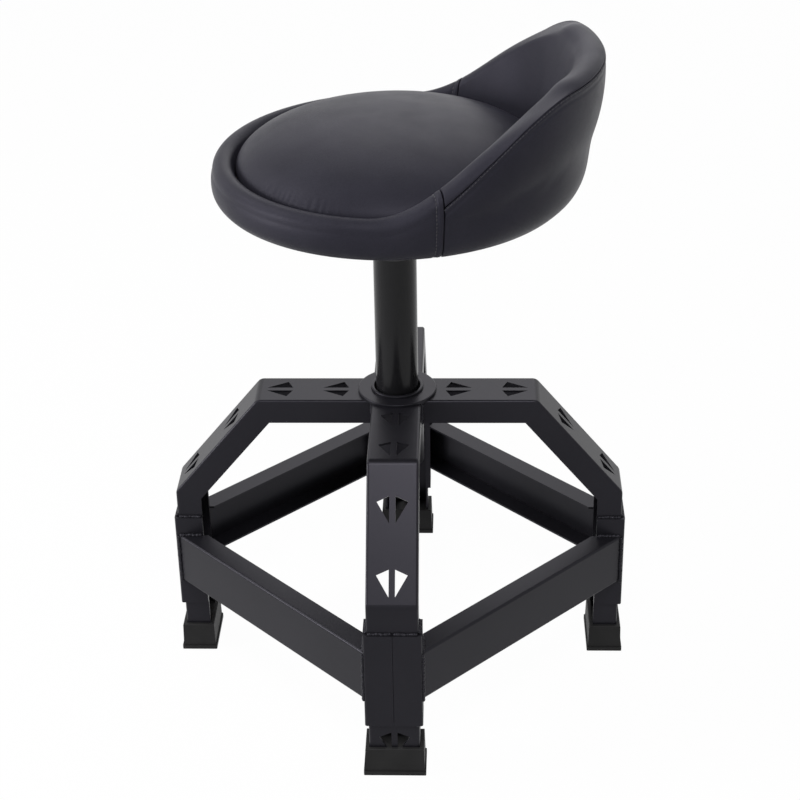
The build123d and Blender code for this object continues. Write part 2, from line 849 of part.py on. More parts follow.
# Seat board and the cloth under it
with BuildPart() as seat_board:
    disc(board_bottom, board_top, board_radius)
    at_screws(nut_barrel_radius + running_fit, board_bottom - overrun, board_top + overrun,
              mode=Mode.SUBTRACT)
    at_screws(nut_flange_radius + running_fit, board_top - touch_gap - nut_flange_thickness,
              board_top + overrun, mode=Mode.SUBTRACT)
save(seat_board.part, "seat_board")

with BuildPart() as underside_cloth:
    disc(board_bottom - cover_thickness, board_bottom, board_radius, cover_inner_radius)
save(underside_cloth.part, "underside_cloth")

# Seat cushion, a crowned round pad in the bay of the ring
ring_crest_height = board_bottom + ring_height
bay_radius = board_radius - bay_inset
cushion_radius = bay_radius - soft_gap
cushion_rim_height = ring_crest_height - cushion_rim_drop
with BuildPart() as seat_cushion:
    with BuildSketch(Plane.XZ):
        with BuildLine():
            dome = [
                (cushion_radius * across, cushion_rim_height + cushion_crown * up)
                for across, up in zip(dome_radius_shares, dome_height_shares)
            ]
            crown = (0, cushion_rim_height + cushion_crown)
            rim = (cushion_radius, cushion_rim_height)
            foot = (cushion_radius - cushion_edge_inset, board_top)
            Spline(crown, *dome, rim, tangents=((1, 0), (0, -1)))
            Line(rim, foot)
            Line(foot, (0, board_top))
            Line((0, board_top), crown)
        make_face()
    revolve(axis=Axis.Z)
save(seat_cushion.part, "seat_cushion")


def rise(angle, crown, end):
    """How far the roll has risen from ring to back at an angle, from 0 to 1."""
    share = (abs(angle) - crown) / (end - crown)
    return (1 + cos(pi * min(max(share, 0), 1))) / 2


def roll_points(angle):
    """The named corners of the padded roll's section at an angle, as (radius, height)."""
    up = rise(angle, crest_crown_angle, crest_end_angle)
    seam_up = rise(angle, seam_crown_angle, seam_end_angle)
    crest = ring_crest_height + back_rise * up
    points = {
        "under": (board_radius + under_overhang, board_bottom - under_drop),
        "waist": (board_radius + between(ring_waist_overhang, back_waist_overhang, up),
                  ring_crest_height - ring_waist_drop + back_waist_rise * up),
        "seam": (board_radius + between(ring_seam_overhang, back_seam_overhang, seam_up),
                 ring_crest_height + back_rise * seam_up
                 - between(ring_seam_drop, back_seam_drop, seam_up)),
        "crest": (board_radius + back_crest_overhang * up, crest),
        "inner": (board_radius + between(-ring_inner_inset, back_inner_overhang, up),
                  crest - between(ring_inner_drop, back_inner_drop, up)),
        "root": (bay_radius, ring_crest_height - ring_root_drop + back_root_rise * up),
    }
    waist = points["waist"]
    under = points["under"]
    points["belly"] = (between(under[0], waist[0], belly_out_share),
                       between(under[1], waist[1], belly_up_share))
    seam = points["seam"]
    bow = between(ring_bow, back_bow, up) / hypot(seam[0] - waist[0], seam[1] - waist[1])
    points["flank"] = ((seam[0] + waist[0]) / 2 + bow * (seam[1] - waist[1]),
                       (seam[1] + waist[1]) / 2 - bow * (seam[0] - waist[0]))
    points["shell_top"] = (seam[0] - shell_top_inset, seam[1] - shell_top_drop)
    return points


seat_edge = board_radius + soft_gap
shell_foot_radius = board_radius - shell_foot_inset
slot_foot = shell_foot_radius + shell_gap


def ring_section(angle):
    p = roll_points(angle)
    Polyline((bay_radius, board_top), p["root"], p["inner"])
    ThreePointArc(p["inner"], p["crest"], p["seam"])
    ThreePointArc(p["seam"], p["flank"], p["waist"])
    ThreePointArc(p["waist"], p["belly"], p["under"])
    Polyline(p["under"], (seat_edge, p["under"][1]), (seat_edge, board_top),
             (bay_radius, board_top))


def inner_pad_section(angle):
    p = roll_points(angle)
    top_r, top_z = p["shell_top"]
    slot_width = shell_wall + 2 * shell_gap
    Polyline((bay_radius, board_top), p["root"], p["inner"])
    ThreePointArc(p["inner"], p["crest"], p["seam"])
    Polyline(p["seam"], (top_r, top_z + shell_gap), (top_r - slot_width, top_z + shell_gap),
             (slot_foot - slot_width, board_top), (bay_radius, board_top))


def outer_pad_section(angle):
    p = roll_points(angle)
    top_r, top_z = p["shell_top"]
    Polyline((slot_foot, board_top), (top_r, top_z + shell_gap), p["seam"])
    ThreePointArc(p["seam"], p["flank"], p["waist"])
    ThreePointArc(p["waist"], p["belly"], p["under"])
    Polyline(p["under"], (seat_edge, p["under"][1]), (seat_edge, board_top),
             (slot_foot, board_top))


def shell_section(angle):
    top_r, top_z = roll_points(angle)["shell_top"]
    outer_top = top_r - shell_gap
    foot = shell_foot_radius
    Polyline((foot - shell_wall, board_top), (outer_top - shell_wall, top_z), (outer_top, top_z),
             (foot, board_top), (foot - shell_wall, board_top))


def round_loft(section, first, last):
    """Lofts a section round the column between two angles from the back's middle."""
    steps = round((last - first) / section_step)
    stations = []
    for step in range(steps + 1):
        angle = first + (last - first) * step / steps
        with BuildSketch(radial_plane(angle)) as station:
            with BuildLine():
                section(angle if angle <= half_turn else 2 * half_turn - angle)
            make_face()
        stations.append(station.sketch.face())
    loft(stations)


with BuildPart() as ring_bolster:
    round_loft(ring_section, far_seam_angle, 2 * half_turn - near_seam_angle)
save(ring_bolster.part, "ring_bolster")

with BuildPart() as back_inner_pad:
    round_loft(inner_pad_section, -near_seam_angle, far_seam_angle)
save(back_inner_pad.part, "back_inner_pad")

with BuildPart() as back_outer_pad:
    round_loft(outer_pad_section, -near_seam_angle, far_seam_angle)
save(back_outer_pad.part, "back_outer_pad")

with BuildPart() as back_shell:
    round_loft(shell_section, -near_seam_angle, far_seam_angle)
save(back_shell.part, "back_shell")
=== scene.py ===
import json
from math import atan2, cos, hypot, pi, radians, sin, sqrt, tan

import bmesh
import bpy
from bpy.props import FloatProperty, FloatVectorProperty, IntProperty, PointerProperty
from bpy.types import Operator, Panel, PropertyGroup
from mathutils import Matrix, Vector, noise
from mathutils.bvhtree import BVHTree
from mathutils.kdtree import KDTree


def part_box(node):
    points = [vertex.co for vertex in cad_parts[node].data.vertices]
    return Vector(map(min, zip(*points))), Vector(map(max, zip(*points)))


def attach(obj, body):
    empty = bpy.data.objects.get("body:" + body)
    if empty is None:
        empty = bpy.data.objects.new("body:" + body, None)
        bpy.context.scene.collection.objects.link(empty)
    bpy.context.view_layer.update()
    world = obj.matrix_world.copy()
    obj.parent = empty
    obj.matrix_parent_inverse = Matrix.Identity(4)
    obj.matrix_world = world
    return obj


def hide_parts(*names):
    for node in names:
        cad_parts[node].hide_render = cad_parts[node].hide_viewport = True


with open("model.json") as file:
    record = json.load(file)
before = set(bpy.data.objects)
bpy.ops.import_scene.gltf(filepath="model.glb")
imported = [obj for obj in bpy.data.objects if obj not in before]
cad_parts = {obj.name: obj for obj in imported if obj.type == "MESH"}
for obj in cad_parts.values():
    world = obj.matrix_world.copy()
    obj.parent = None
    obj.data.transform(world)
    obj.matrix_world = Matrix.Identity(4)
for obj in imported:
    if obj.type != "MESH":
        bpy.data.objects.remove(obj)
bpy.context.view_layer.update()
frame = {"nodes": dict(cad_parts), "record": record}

bl_info = {
    "name": "Shop stool",
    "version": (1, 0, 0),
    "blender": (4, 5, 0),
    "location": "3D Viewport > Sidebar > Stool",
    "description": "Upholstery, welds and finishes for a gas-lift shop stool",
    "category": "Object",
}

# Corners that the solids give
board_low, board_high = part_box("seat_board")
leg_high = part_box("leg_right")[1]
bracket_low, bracket_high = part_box("bracket_right_a")
stretcher_low, stretcher_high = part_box("stretcher_back_right")


def length(name, description, default):
    return FloatProperty(name=name, description=description, default=default, unit="LENGTH", precision=4)


def share(name, description, default):
    return FloatProperty(name=name, description=description, default=default, min=0.0, max=1.0)


def angle(name, description, degrees):
    return FloatProperty(name=name, description=description, default=radians(degrees), subtype="ANGLE")


def number(name, description, default):
    return FloatProperty(name=name, description=description, default=default)


def colour(name, description, default):
    return FloatVectorProperty(
        name=name, description=description, default=default, size=3, min=0.0, max=1.0, subtype="COLOR"
    )


class StoolSeatSizes(PropertyGroup):
    """The padded roll, the back that it rises into, and the cushion in its bay."""

    turn: angle("Seat turn", "How far the seat is swivelled about the column", -5.4)
    board_radius: length("Board radius", "Radius of the plywood seat board", board_high.x)
    board_bottom: length("Board underside", "Height of the board's underside", board_low.z)
    board_top: length("Board top", "Height of the board's top", board_high.z)
    board_gap: length("Board gap", "Gap between the board's edge and the padding", 0.0003)
    bay_inset: length("Bay inset", "How far inside the board's edge the cushion's bay starts", 0.014)
    under_overhang: length("Under overhang", "How far the roll's underside passes the board", 0.004)
    under_drop: length("Under drop", "How far the roll hangs under the board", 0.002)
    ring_height: length("Ring height", "The ring's crest over the board's underside", 0.0424)
    ring_waist_overhang: length("Ring waist overhang", "The ring's widest place past the board", 0.0134)
    ring_waist_drop: length("Ring waist drop", "The widest place below the crest", 0.022)
    ring_seam_overhang: length("Ring shoulder overhang", "The ring's shoulder past the board", 0.0115)
    ring_seam_drop: length("Ring shoulder drop", "The shoulder below the crest", 0.0135)
    ring_inner_inset: length("Ring inner inset", "The ring's inner shoulder inside the board's edge", 0.0105)
    ring_inner_drop: length("Ring inner drop", "The inner shoulder below the crest", 0.005)
    ring_root_drop: length("Ring root drop", "Where the ring meets the cushion, below the crest", 0.015)
    belly_drop: share("Belly drop", "How far the waist's line runs on, of the way to the underside", 0.42)
    belly_reach: number("Belly reach", "How far the underside's line runs out, of the way to the waist", 1.02)
    belly_angle: angle("Belly angle", "How steeply the roll rises from its underside", 38.3)
    back_rise: length("Back rise", "The back's crest over the ring's crest", 0.1186)
    back_waist_overhang: length("Back waist overhang", "The back's waist past the board", 0.0335)
    back_waist_rise: length("Back waist rise", "The back's waist over the ring's waist", 0.0593)
    back_seam_overhang: length("Back seam overhang", "The rim seam past the board", 0.0419)
    back_seam_drop: length("Back seam drop", "The rim seam below the back's crest", 0.0035)
    back_crest_overhang: length("Back crest overhang", "The back's crest past the board", 0.0377)
    back_inner_overhang: length("Back inner overhang", "The back's inner shoulder past the board", 0.008)
    back_inner_drop: length("Back inner drop", "The inner shoulder below the back's crest", 0.0116)
    back_root_rise: length("Back root rise", "The back's foot over the ring's foot", 0.011)
    crest_crown: angle("Crest crown", "Half the width over which the crest stays level", 23.8)
    crest_end: angle("Crest end", "Where the crest has come down to the ring", 91.2)
    seam_crown: angle("Seam crown", "Half the width over which the rim seam stays level", 29.2)
    seam_end: angle("Seam end", "Where the rim seam has come down to the ring", 86.7)
    ring_bow: length("Ring bow", "How far the ring bows out between shoulder and waist", 0.0004)
    back_bow: length("Back bow", "How far the back bows out between rim seam and waist", 0.0039)
    near_seam: angle("Near seam", "The back cover's end at the left, from its middle", 68.0)
    far_seam: angle("Far seam", "The back cover's end at the right, from its middle", 72.0)
    shell_gap: length("Shell gap", "Gap between the padding and the shell inside it", 0.0005)
    shell_wall: length("Shell wall", "Thickness of the shell inside the back", 0.008)
    shell_foot_inset: length("Shell foot inset", "The shell's foot inside the board's edge", 0.0024)
    shell_top_drop: length("Shell top drop", "The shell's top below the rim seam", 0.009)
    shell_top_inset: length("Shell top inset", "The shell's top inside the rim seam", 0.011)
    cushion_rim_drop: length("Cushion rim drop", "The cushion's edge below the ring's crest", 0.013)
    cushion_crown: length("Cushion crown", "The middle of the cushion over its edge", 0.0529)
    cushion_edge_inset: length("Cushion edge inset", "How far the cushion tucks in at the board", 0.002)
    cushion_gap: length("Cushion gap", "Gap between the cushion and the ring", 0.0006)


class StoolSewing(PropertyGroup):
    """Seams, stitches and the give of the covers."""

    stitch_pitch: length("Stitch pitch", "From one stitch to the next", 0.0042)
    stitch_length: length("Stitch length", "Length of the thread that shows", 0.0031)
    thread_radius: length("Thread radius", "Radius of the sewing thread", 0.00042)
    rim_stitch_offset: length("Rim stitch offset", "The stitches' distance below the rim seam", 0.0024)
    rim_sink: length("Rim seam depth", "How deep the rim seam draws both covers in", 0.0006)
    rim_valley: length("Rim seam valley", "Half the width that the rim seam draws in", 0.0024)
    allowance: length("Seam allowance", "Width of the folded edge that shows below the rim seam", 0.0085)
    allowance_sink: length("Allowance step", "How far the cover drops past the folded edge", 0.0006)
    side_stitch_offset: length("Side stitch offset", "The stitches' distance from the side seams", 0.0072)
    stitch_sink: length("Stitch sink", "How deep a row of stitches pulls the cover in", 0.0007)
    stitch_valley: length("Stitch valley", "Half the width that a row of stitches pulls in", 0.0032)
    seam_parting: length("Seam parting", "Half the gap between two covers at a seam", 0.00010)
    seam_roll: length("Seam roll", "How far a cover's edge turns in at a seam", 0.0004)
    pucker: length("Pucker", "Height of the puckers along a seam", 0.00030)
    pucker_pitch: length("Pucker pitch", "From one pucker to the next", 0.0085)
    crease: length("Crease", "Height of the creases at the cushion's front left edge", 0.0022)
    crease_pitch: length("Crease pitch", "From one crease to the next", 0.0090)
    start_inset: length("Start inset", "How much smaller a pad is before it is filled", 0.0018)
    unevenness: length("Unevenness", "Largest spread that is kept of the filling's unevenness", 0.0002)
    most_swell: length("Most swell", "The furthest that filling moves a point", 0.0014)
    fill_pressure: number("Fill pressure", "Pressure of the filling on the cover", 4.0)
    cover_stiffness: number("Cover stiffness", "How hard the cover resists stretching", 10.0)
    bending_stiffness: number("Bending stiffness", "How hard the cover resists bending", 1.0)


class StoolFixing(PropertyGroup):
    """Weld beads, and the lining under the seat with its staples."""

    leg_depth: length("Leg depth", "Depth of the legs' channel", 0.0299)
    edge_radius: length("Edge radius", "Radius of the legs' long edges", 0.003)
    bead: length("Bead", "Reach of a weld bead on each plate", 0.0031)
    tack: length("Tack", "Length of the tack welds under the brackets", 0.009)
    end_gap: length("End gap", "From a plate's end to the end of its bead", 0.003)
    ripple_pitch: length("Ripple pitch", "From one ripple of a bead to the next", 0.0017)
    ripple_wander: length("Ripple wander", "How far ripples stray", 0.0003)
    lining_inner: length("Lining hole", "Radius of the hole in the lining", 0.103)
    lining_edge: length("Lining edge", "The lining's edge inside the board's edge", 0.004)
    lining_thickness: length("Lining thickness", "Thickness of the lining", 0.0006)
    lining_sag: length("Lining sag", "How far the lining bellies between staples", 0.0016)
    staple_count: IntProperty(name="Staples", description="Staples round each edge of the lining", default=30)
    staple_width: length("Staple width", "Width of a staple's crown", 0.010)
    staple_wire: length("Staple wire", "Half the thickness of a staple's wire", 0.0005)


class StoolFinishes(PropertyGroup):
    """Colours and textures of the stool's finishes."""

    leather: colour("Leather", "Coated leather", (0.0228, 0.0225, 0.0303))
    leather_pale: colour("Leather, pale", "Coated leather where it is polished", (0.0305, 0.0300, 0.0400))
    leather_grain: length("Leather grain", "Size of the leather's grain", 0.0011)
    thread: colour("Thread", "Sewing thread", (0.026, 0.026, 0.030))
    powder: colour("Powder coat", "Powder coat on the frame", (0.0093, 0.0092, 0.0115))
    powder_pale: colour("Powder coat, pale", "Powder coat where it is thin", (0.0126, 0.0124, 0.0152))
    powder_grain: length("Powder grain", "Size of the powder coat's texture", 0.0009)
    enamel: colour("Enamel", "Enamel on the column", (0.0075, 0.0075, 0.0084))
    rubber: colour("Rubber", "Foot rubber", (0.0145, 0.0146, 0.0146))
    plastic: colour("Plastic", "Black nylon", (0.018, 0.018, 0.019))
    steel: colour("Steel", "Ground steel", (0.52, 0.52, 0.53))
    zinc: colour("Zinc", "Zinc plate", (0.55, 0.55, 0.52))
    ply_pale: colour("Plywood, pale", "Plywood between its grain lines", (0.56, 0.40, 0.24))
    ply_dark: colour("Plywood, dark", "Plywood along its grain lines", (0.36, 0.22, 0.11))
    lining: colour("Lining", "Non-woven lining", (0.020, 0.020, 0.022))


class StoolStageSettings(PropertyGroup):
    """Floor, lamps and camera."""

    lens: number("Lens", "Focal length on a 36 mm sensor, in millimetres", 85.4)
    floor_size: length("Floor size", "Width of the floor", 30.0)
    floor: colour("Floor", "Colour of the floor", (0.86, 0.86, 0.86))
    floor_glow: share("Floor glow", "Share of the floor that the camera sees as plain white", 0.98)
    sky: number("Sky", "Strength of the pale room light", 0.15)
    front_lamp: number("Front lamp", "Power of the lamp over the camera, in watts", 42.4)
    left_lamp: number("Left lamp", "Power of the lamp at the left, high up, in watts", 20.7)
    side_lamp: number("Side lamp", "Power of the lamp at the left, low down, in watts", 48.1)
    back_lamp: number("Back lamp", "Power of the lamp behind, in watts", 12.0)


# Shader nodes


def plug(tree, node, **inputs):
    """Sets or links a node's inputs. An underscore in a name stands for a space, and i0 is the first input.
    A node as a source stands for its first output."""
    for label, source in inputs.items():
        socket = node.inputs[int(label[1:]) if label[1:].isdigit() else label.replace("_", " ")]
        if isinstance(source, bpy.types.Node):
            source = source.outputs[0]
        if isinstance(source, bpy.types.NodeSocket):
            tree.links.new(source, socket)
        else:
            socket.default_value = source
    return node


def add_node(tree, kind, settings=None, **inputs):
    """A new node with its settings made before its inputs."""
    node = tree.nodes.new(kind)
    for label, setting in (settings or {}).items():
        setattr(node, label, setting)
    return plug(tree, node, **inputs)


def calculate(tree, operation, *inputs, kind="Math", **settings):
    """A math node, or a vector math node, with its inputs in order. None leaves one alone."""
    numbered = {f"i{index}": source for index, source in enumerate(inputs) if source is not None}
    return add_node(tree, f"ShaderNode{kind}", {"operation": operation, **settings}, **numbered)


def scaled(tree, vector, factor):
    """A vector times a factor."""
    return calculate(tree, "SCALE", vector, None, None, factor, kind="VectorMath")


def mixed(tree, amount, first, second, blend="MIX"):
    """Two colours mixed by an amount."""
    settings = {"data_type": "RGBA", "blend_type": blend}
    return add_node(tree, "ShaderNodeMix", settings, i0=amount, i6=first, i7=second).outputs[2]


def speckle(tree, place, scale, detail):
    """Soft noise over a surface."""
    return add_node(tree, "ShaderNodeTexNoise", Vector=place, Scale=scale, Detail=detail)


def new_group(name, kind, inputs, outputs):
    """A node group with named sockets, the sockets that it is given, and its output node. An input is a name,
    a kind and a default, and an output a name and a kind."""
    group = bpy.data.node_groups.new(name, kind)
    for label, socket_kind, default in inputs:
        socket = group.interface.new_socket(label, in_out="INPUT", socket_type=f"NodeSocket{socket_kind}")
        if default is not None:
            socket.default_value = default
    for label, socket_kind in outputs:
        group.interface.new_socket(label, in_out="OUTPUT", socket_type=f"NodeSocket{socket_kind}")
    return group, group.nodes.new("NodeGroupInput").outputs, group.nodes.new("NodeGroupOutput")


def built(builder):
    """A node group, which is made when it is first asked for."""
    return bpy.data.node_groups.get(builder.__name__) or builder()


def use_group(tree, builder, **inputs):
    """A shader node group placed in a tree, with its own values."""
    node = tree.nodes.new("ShaderNodeGroup")
    node.node_tree = built(builder)
    return plug(tree, node, **inputs)


def scaled_place(group, given):
    """Coordinates divided by the group's Size, so that a pattern has its size in metres."""
    return scaled(group, given["Place"], calculate(group, "DIVIDE", 1.0, given["Size"]))


def cloudy_mix():
    """Two colours mixed in soft patches."""
    group, given, end = new_group(
        "cloudy_mix", "ShaderNodeTree",
        [("Place", "Vector", None), ("Size", "Float", 0.1), ("Colour", "Color", None),
         ("Pale colour", "Color", None)],
        [("Colour", "Color"), ("Mask", "Float")],
    )
    clouds = speckle(group, scaled_place(group, given), scale=1.0, detail=4.0)
    mask = add_node(group, "ShaderNodeMapRange", Value=clouds, From_Min=0.35, From_Max=0.65)
    plug(group, end, Colour=mixed(group, mask, given["Colour"], given["Pale colour"]), Mask=mask)
    return group


def fine_grain():
    """A fine even texture: its height, and a roughness that follows it."""
    group, given, end = new_group(
        "fine_grain", "ShaderNodeTree",
        [("Place", "Vector", None), ("Size", "Float", 0.001), ("Roughness", "Float", 0.5),
         ("Spread", "Float", 0.05)],
        [("Height", "Float"), ("Roughness", "Float")],
    )
    grain = speckle(group, scaled_place(group, given), scale=1.0, detail=2.0)
    away = calculate(group, "SUBTRACT", grain, 0.5)
    rough = calculate(group, "MULTIPLY_ADD", away, given["Spread"], given["Roughness"])
    plug(group, end, Height=grain, Roughness=rough)
    return group


def leather_cells():
    """Small rounded cells with creases between them, broken up by a finer noise."""
    group, given, end = new_group(
        "leather_cells", "ShaderNodeTree",
        [("Place", "Vector", None), ("Size", "Float", 0.001)],
        [("Height", "Float"), ("Crease", "Float")],
    )
    place = scaled_place(group, given)
    bend = speckle(group, place, scale=0.8, detail=2.0).outputs["Color"]
    bent = calculate(group, "MULTIPLY_ADD", bend, (0.6, 0.6, 0.6), place, kind="VectorMath")
    cells = add_node(group, "ShaderNodeTexVoronoi", {"feature": "DISTANCE_TO_EDGE"}, Vector=bent, Scale=1.0)
    crease = add_node(group, "ShaderNodeMapRange", Value=cells.outputs["Distance"], From_Max=0.22)
    pores = speckle(group, place, scale=2.6, detail=3.0)
    height = calculate(group, "MULTIPLY_ADD", pores, 0.4, crease)
    plug(group, end, Height=height, Crease=crease)
    return group


def settled_dust():
    """A mask of faint dust on faces that look up."""
    group, given, end = new_group(
        "settled_dust", "ShaderNodeTree",
        [("Place", "Vector", None), ("Size", "Float", 0.02), ("Amount", "Float", 0.05)],
        [("Mask", "Float")],
    )
    patches = speckle(group, scaled_place(group, given), scale=1.0, detail=6.0)
    surface = group.nodes.new("ShaderNodeNewGeometry")
    parts = add_node(group, "ShaderNodeSeparateXYZ", i0=surface.outputs["Normal"])
    up = add_node(group, "ShaderNodeMapRange", Value=parts.outputs["Z"], From_Min=0.3, From_Max=1.0)
    spread = calculate(group, "MULTIPLY", patches, up)
    plug(group, end, Mask=calculate(group, "MULTIPLY", spread, given["Amount"]))
    return group


def own_name(name):
    """The name of a finish made here, apart from the plain ones that the solids bring along."""
    return f"stool_{name}"


def blank_material(name, **constants):
    """A plain material whose steady values are set on its shader's sockets, with its node tree and the
    coordinates that its patterns read."""
    material = bpy.data.materials.new(own_name(name))
    material.use_nodes = True
    tree = material.node_tree
    plug(tree, tree.nodes["Principled BSDF"], **constants)
    return material, tree, tree.nodes.new("ShaderNodeTexCoord").outputs["Object"]


def surfaced(material, tint, roughness, height, depth, strength=1.0):
    """A material with its colour, its roughness, and a relief of some depth in metres."""
    tree = material.node_tree
    relief = add_node(tree, "ShaderNodeBump", Height=height, Distance=depth, Strength=strength)
    plug(tree, tree.nodes["Principled BSDF"], Base_Color=tint, Roughness=roughness, Normal=relief)
    return material


def rgba(colour_value):
    return (*colour_value, 1.0)


def paler(tone, factor):
    return tuple(channel * factor for channel in tone)


def patchy(tree, place, tone, pale, size):
    """Soft patches of two tones."""
    return use_group(tree, cloudy_mix, Place=place, Size=size, Colour=rgba(tone), Pale_colour=rgba(pale))


def grained(tree, place, size, roughness, spread):
    """The roughness and the height of a fine texture."""
    texture = use_group(tree, fine_grain, Place=place, Size=size, Roughness=roughness, Spread=spread)
    return texture.outputs["Roughness"], texture.outputs["Height"]


# Colour of settled dust, and the size of its patches
dust_tone = (0.30, 0.30, 0.31)
dust_patch = 0.03


def coated(name, dark, pale, grain, roughness, spread, bump, patch=0.12, dust=0.0, **constants):
    """A coat of paint, rubber or plastic: soft patches, a fine texture and a little dust."""
    material, tree, place = blank_material(name, **constants)
    tint = patchy(tree, place, dark, pale, size=patch)
    rough, height = grained(tree, place, grain, roughness, spread)
    if dust:
        mask = use_group(tree, settled_dust, Place=place, Size=dust_patch, Amount=dust)
        tint = mixed(tree, mask, tint, rgba(dust_tone))
    return surfaced(material, tint, rough, height, bump)


def frame_paint(look):
    return coated("frame_paint", look.powder, look.powder_pale, grain=look.powder_grain, roughness=0.34,
                  spread=0.10, bump=0.00003, Specular_IOR_Level=0.17, Specular_Tint=(0.88, 0.86, 1.0, 1.0))


def column_paint(look):
    return coated("column_paint", look.enamel, paler(look.enamel, 1.5), grain=0.004, roughness=0.24,
                  spread=0.06, bump=0.00001, Specular_IOR_Level=0.19)


def foot_rubber(look):
    return coated("foot_rubber", look.rubber, paler(look.rubber, 1.4), grain=0.0006, roughness=0.55,
                  spread=0.15, bump=0.00004, patch=0.04, dust=0.03, Specular_IOR_Level=0.12)


def black_plastic(look):
    return coated("black_plastic", look.plastic, paler(look.plastic, 1.3), grain=0.0005, roughness=0.42,
                  spread=0.1, bump=0.00003, patch=0.03, Specular_IOR_Level=0.45)


def metal(name, tone, roughness, stretch):
    """Bare or plated metal with fine lines from grinding, drawn out along one way."""
    material, tree, place = blank_material(name, Metallic=1.0)
    lines = add_node(tree, "ShaderNodeMapping", Vector=place, Scale=stretch)
    tint = patchy(tree, place, paler(tone, 0.95), tone, size=0.04)
    rough, height = grained(tree, lines, size=0.0006, roughness=roughness, spread=0.12)
    return surfaced(material, tint, rough, height, depth=0.00001)


def bright_steel(look):
    return metal("bright_steel", look.steel, roughness=0.22, stretch=(1.0, 1.0, 12.0))


def zinc_steel(look):
    return metal("zinc_steel", look.zinc, roughness=0.34, stretch=(1.0, 1.0, 1.0))


def plywood(look):
    """Pale veneer with darker grain lines, and plies that show on its edges."""
    material, tree, place = blank_material("plywood", Specular_IOR_Level=0.3)
    along = add_node(tree, "ShaderNodeMapping", Vector=place, Scale=(3.0, 40.0, 600.0))
    grain = speckle(tree, along, scale=4.0, detail=5.0)
    lines = add_node(tree, "ShaderNodeMapRange", Value=grain, From_Min=0.4, From_Max=0.66)
    tint = mixed(tree, lines, rgba(look.ply_pale), rgba(look.ply_dark))
    rough, _ = grained(tree, place, size=0.002, roughness=0.6, spread=0.2)
    return surfaced(material, tint, rough, grain, depth=0.0002, strength=0.6)


def lining_cloth(look):
    """Black non-woven cloth with a pressed pattern of small dots."""
    material, tree, place = blank_material(
        "lining_cloth", Specular_IOR_Level=0.2, Sheen_Weight=0.25, Sheen_Roughness=0.6
    )
    dots = add_node(tree, "ShaderNodeTexVoronoi", Vector=place, Scale=420.0, Randomness=0.15)
    press = add_node(tree, "ShaderNodeMapRange", Value=dots.outputs["Distance"], From_Min=0.2, From_Max=0.45)
    fibres = speckle(tree, place, scale=1900.0, detail=3.0)
    height = calculate(tree, "MULTIPLY_ADD", fibres, 0.5, press)
    tint = patchy(tree, place, look.lining, paler(look.lining, 1.6), size=0.02)
    rough, _ = grained(tree, place, size=0.001, roughness=0.85, spread=0.1)
    return surfaced(material, tint, rough, height, depth=0.0002, strength=0.8)


def seat_leather(look):
    """Smooth coated leather with a fine grain, a soft sheen and a faint rubbed variation."""
    material, tree, place = blank_material(
        "seat_leather", Specular_IOR_Level=0.085, Specular_Tint=(0.86, 0.84, 1.0, 1.0)
    )
    patches = patchy(tree, place, look.leather, look.leather_pale, size=0.09)
    grain = use_group(tree, leather_cells, Place=place, Size=look.leather_grain)
    deep = add_node(tree, "ShaderNodeMapRange", Value=grain.outputs["Crease"], To_Min=0.72)
    tint = mixed(tree, 1.0, patches, deep, blend="MULTIPLY")
    rough, _ = grained(tree, place, size=0.035, roughness=0.40, spread=0.15)
    return surfaced(material, tint, rough, grain, depth=0.00005)


def sewing_thread(look):
    """Twisted black thread."""
    material, tree, place = blank_material(
        "sewing_thread", Specular_IOR_Level=0.3, Sheen_Weight=0.3, Sheen_Roughness=0.5
    )
    tint = patchy(tree, place, look.thread, paler(look.thread, 1.8), size=0.002)
    twist = add_node(tree, "ShaderNodeTexWave", Vector=place, Scale=700.0, Distortion=1.0)
    return surfaced(material, tint, 0.6, twist.outputs["Fac"], depth=0.0001, strength=0.7)


finish_makers = {
    maker.__name__: maker
    for maker in (frame_paint, column_paint, foot_rubber, black_plastic, bright_steel, zinc_steel,
                  plywood, lining_cloth, seat_leather, sewing_thread)
}


def finish(name):
    return bpy.data.materials.get(own_name(name)) or finish_makers[name](bpy.context.scene.stool_finishes)


# Meshes and modifiers


def new_piece(name, content, material=None):
    """A new object in the scene, from a mesh, a lamp or a camera."""
    piece = bpy.data.objects.new(name, content)
    bpy.context.scene.collection.objects.link(piece)
    if material:
        content.materials.clear()
        content.materials.append(material)
    return piece


def made_mesh(bm, name):
    """The mesh of what was built, which is cleared away."""
    mesh = bpy.data.meshes.new(name)
    bm.to_mesh(mesh)
    bm.free()
    return mesh


def bake_modifiers(piece):
    """Replaces a piece's mesh by the one that its modifiers make, and drops them."""
    evaluated = piece.evaluated_get(bpy.context.evaluated_depsgraph_get())
    mesh = bpy.data.meshes.new_from_object(evaluated)
    material = piece.data.materials[0] if piece.data.materials else None
    piece.modifiers.clear()
    mesh.name = piece.name
    piece.data = mesh
    if material and not mesh.materials:
        mesh.materials.append(material)
    return piece


def circle_through(start, middle, end):
    """Centre, radius, first angle and sweep of the arc through three points."""
    (ax, ay), (bx, by), (cx, cy) = start, middle, end
    d = 2 * (ax * (by - cy) + bx * (cy - ay) + cx * (ay - by))
    a, b, c = ax * ax + ay * ay, bx * bx + by * by, cx * cx + cy * cy
    x = (a * (by - cy) + b * (cy - ay) + c * (ay - by)) / d
    y = (a * (cx - bx) + b * (ax - cx) + c * (bx - ax)) / d
    first = atan2(ay - y, ax - x)
    sweep = (atan2(cy - y, cx - x) - first) % (2 * pi)
    if (atan2(by - y, bx - x) - first) % (2 * pi) > sweep:
        sweep -= 2 * pi
    return (x, y), hypot(ax - x, ay - y), first, sweep


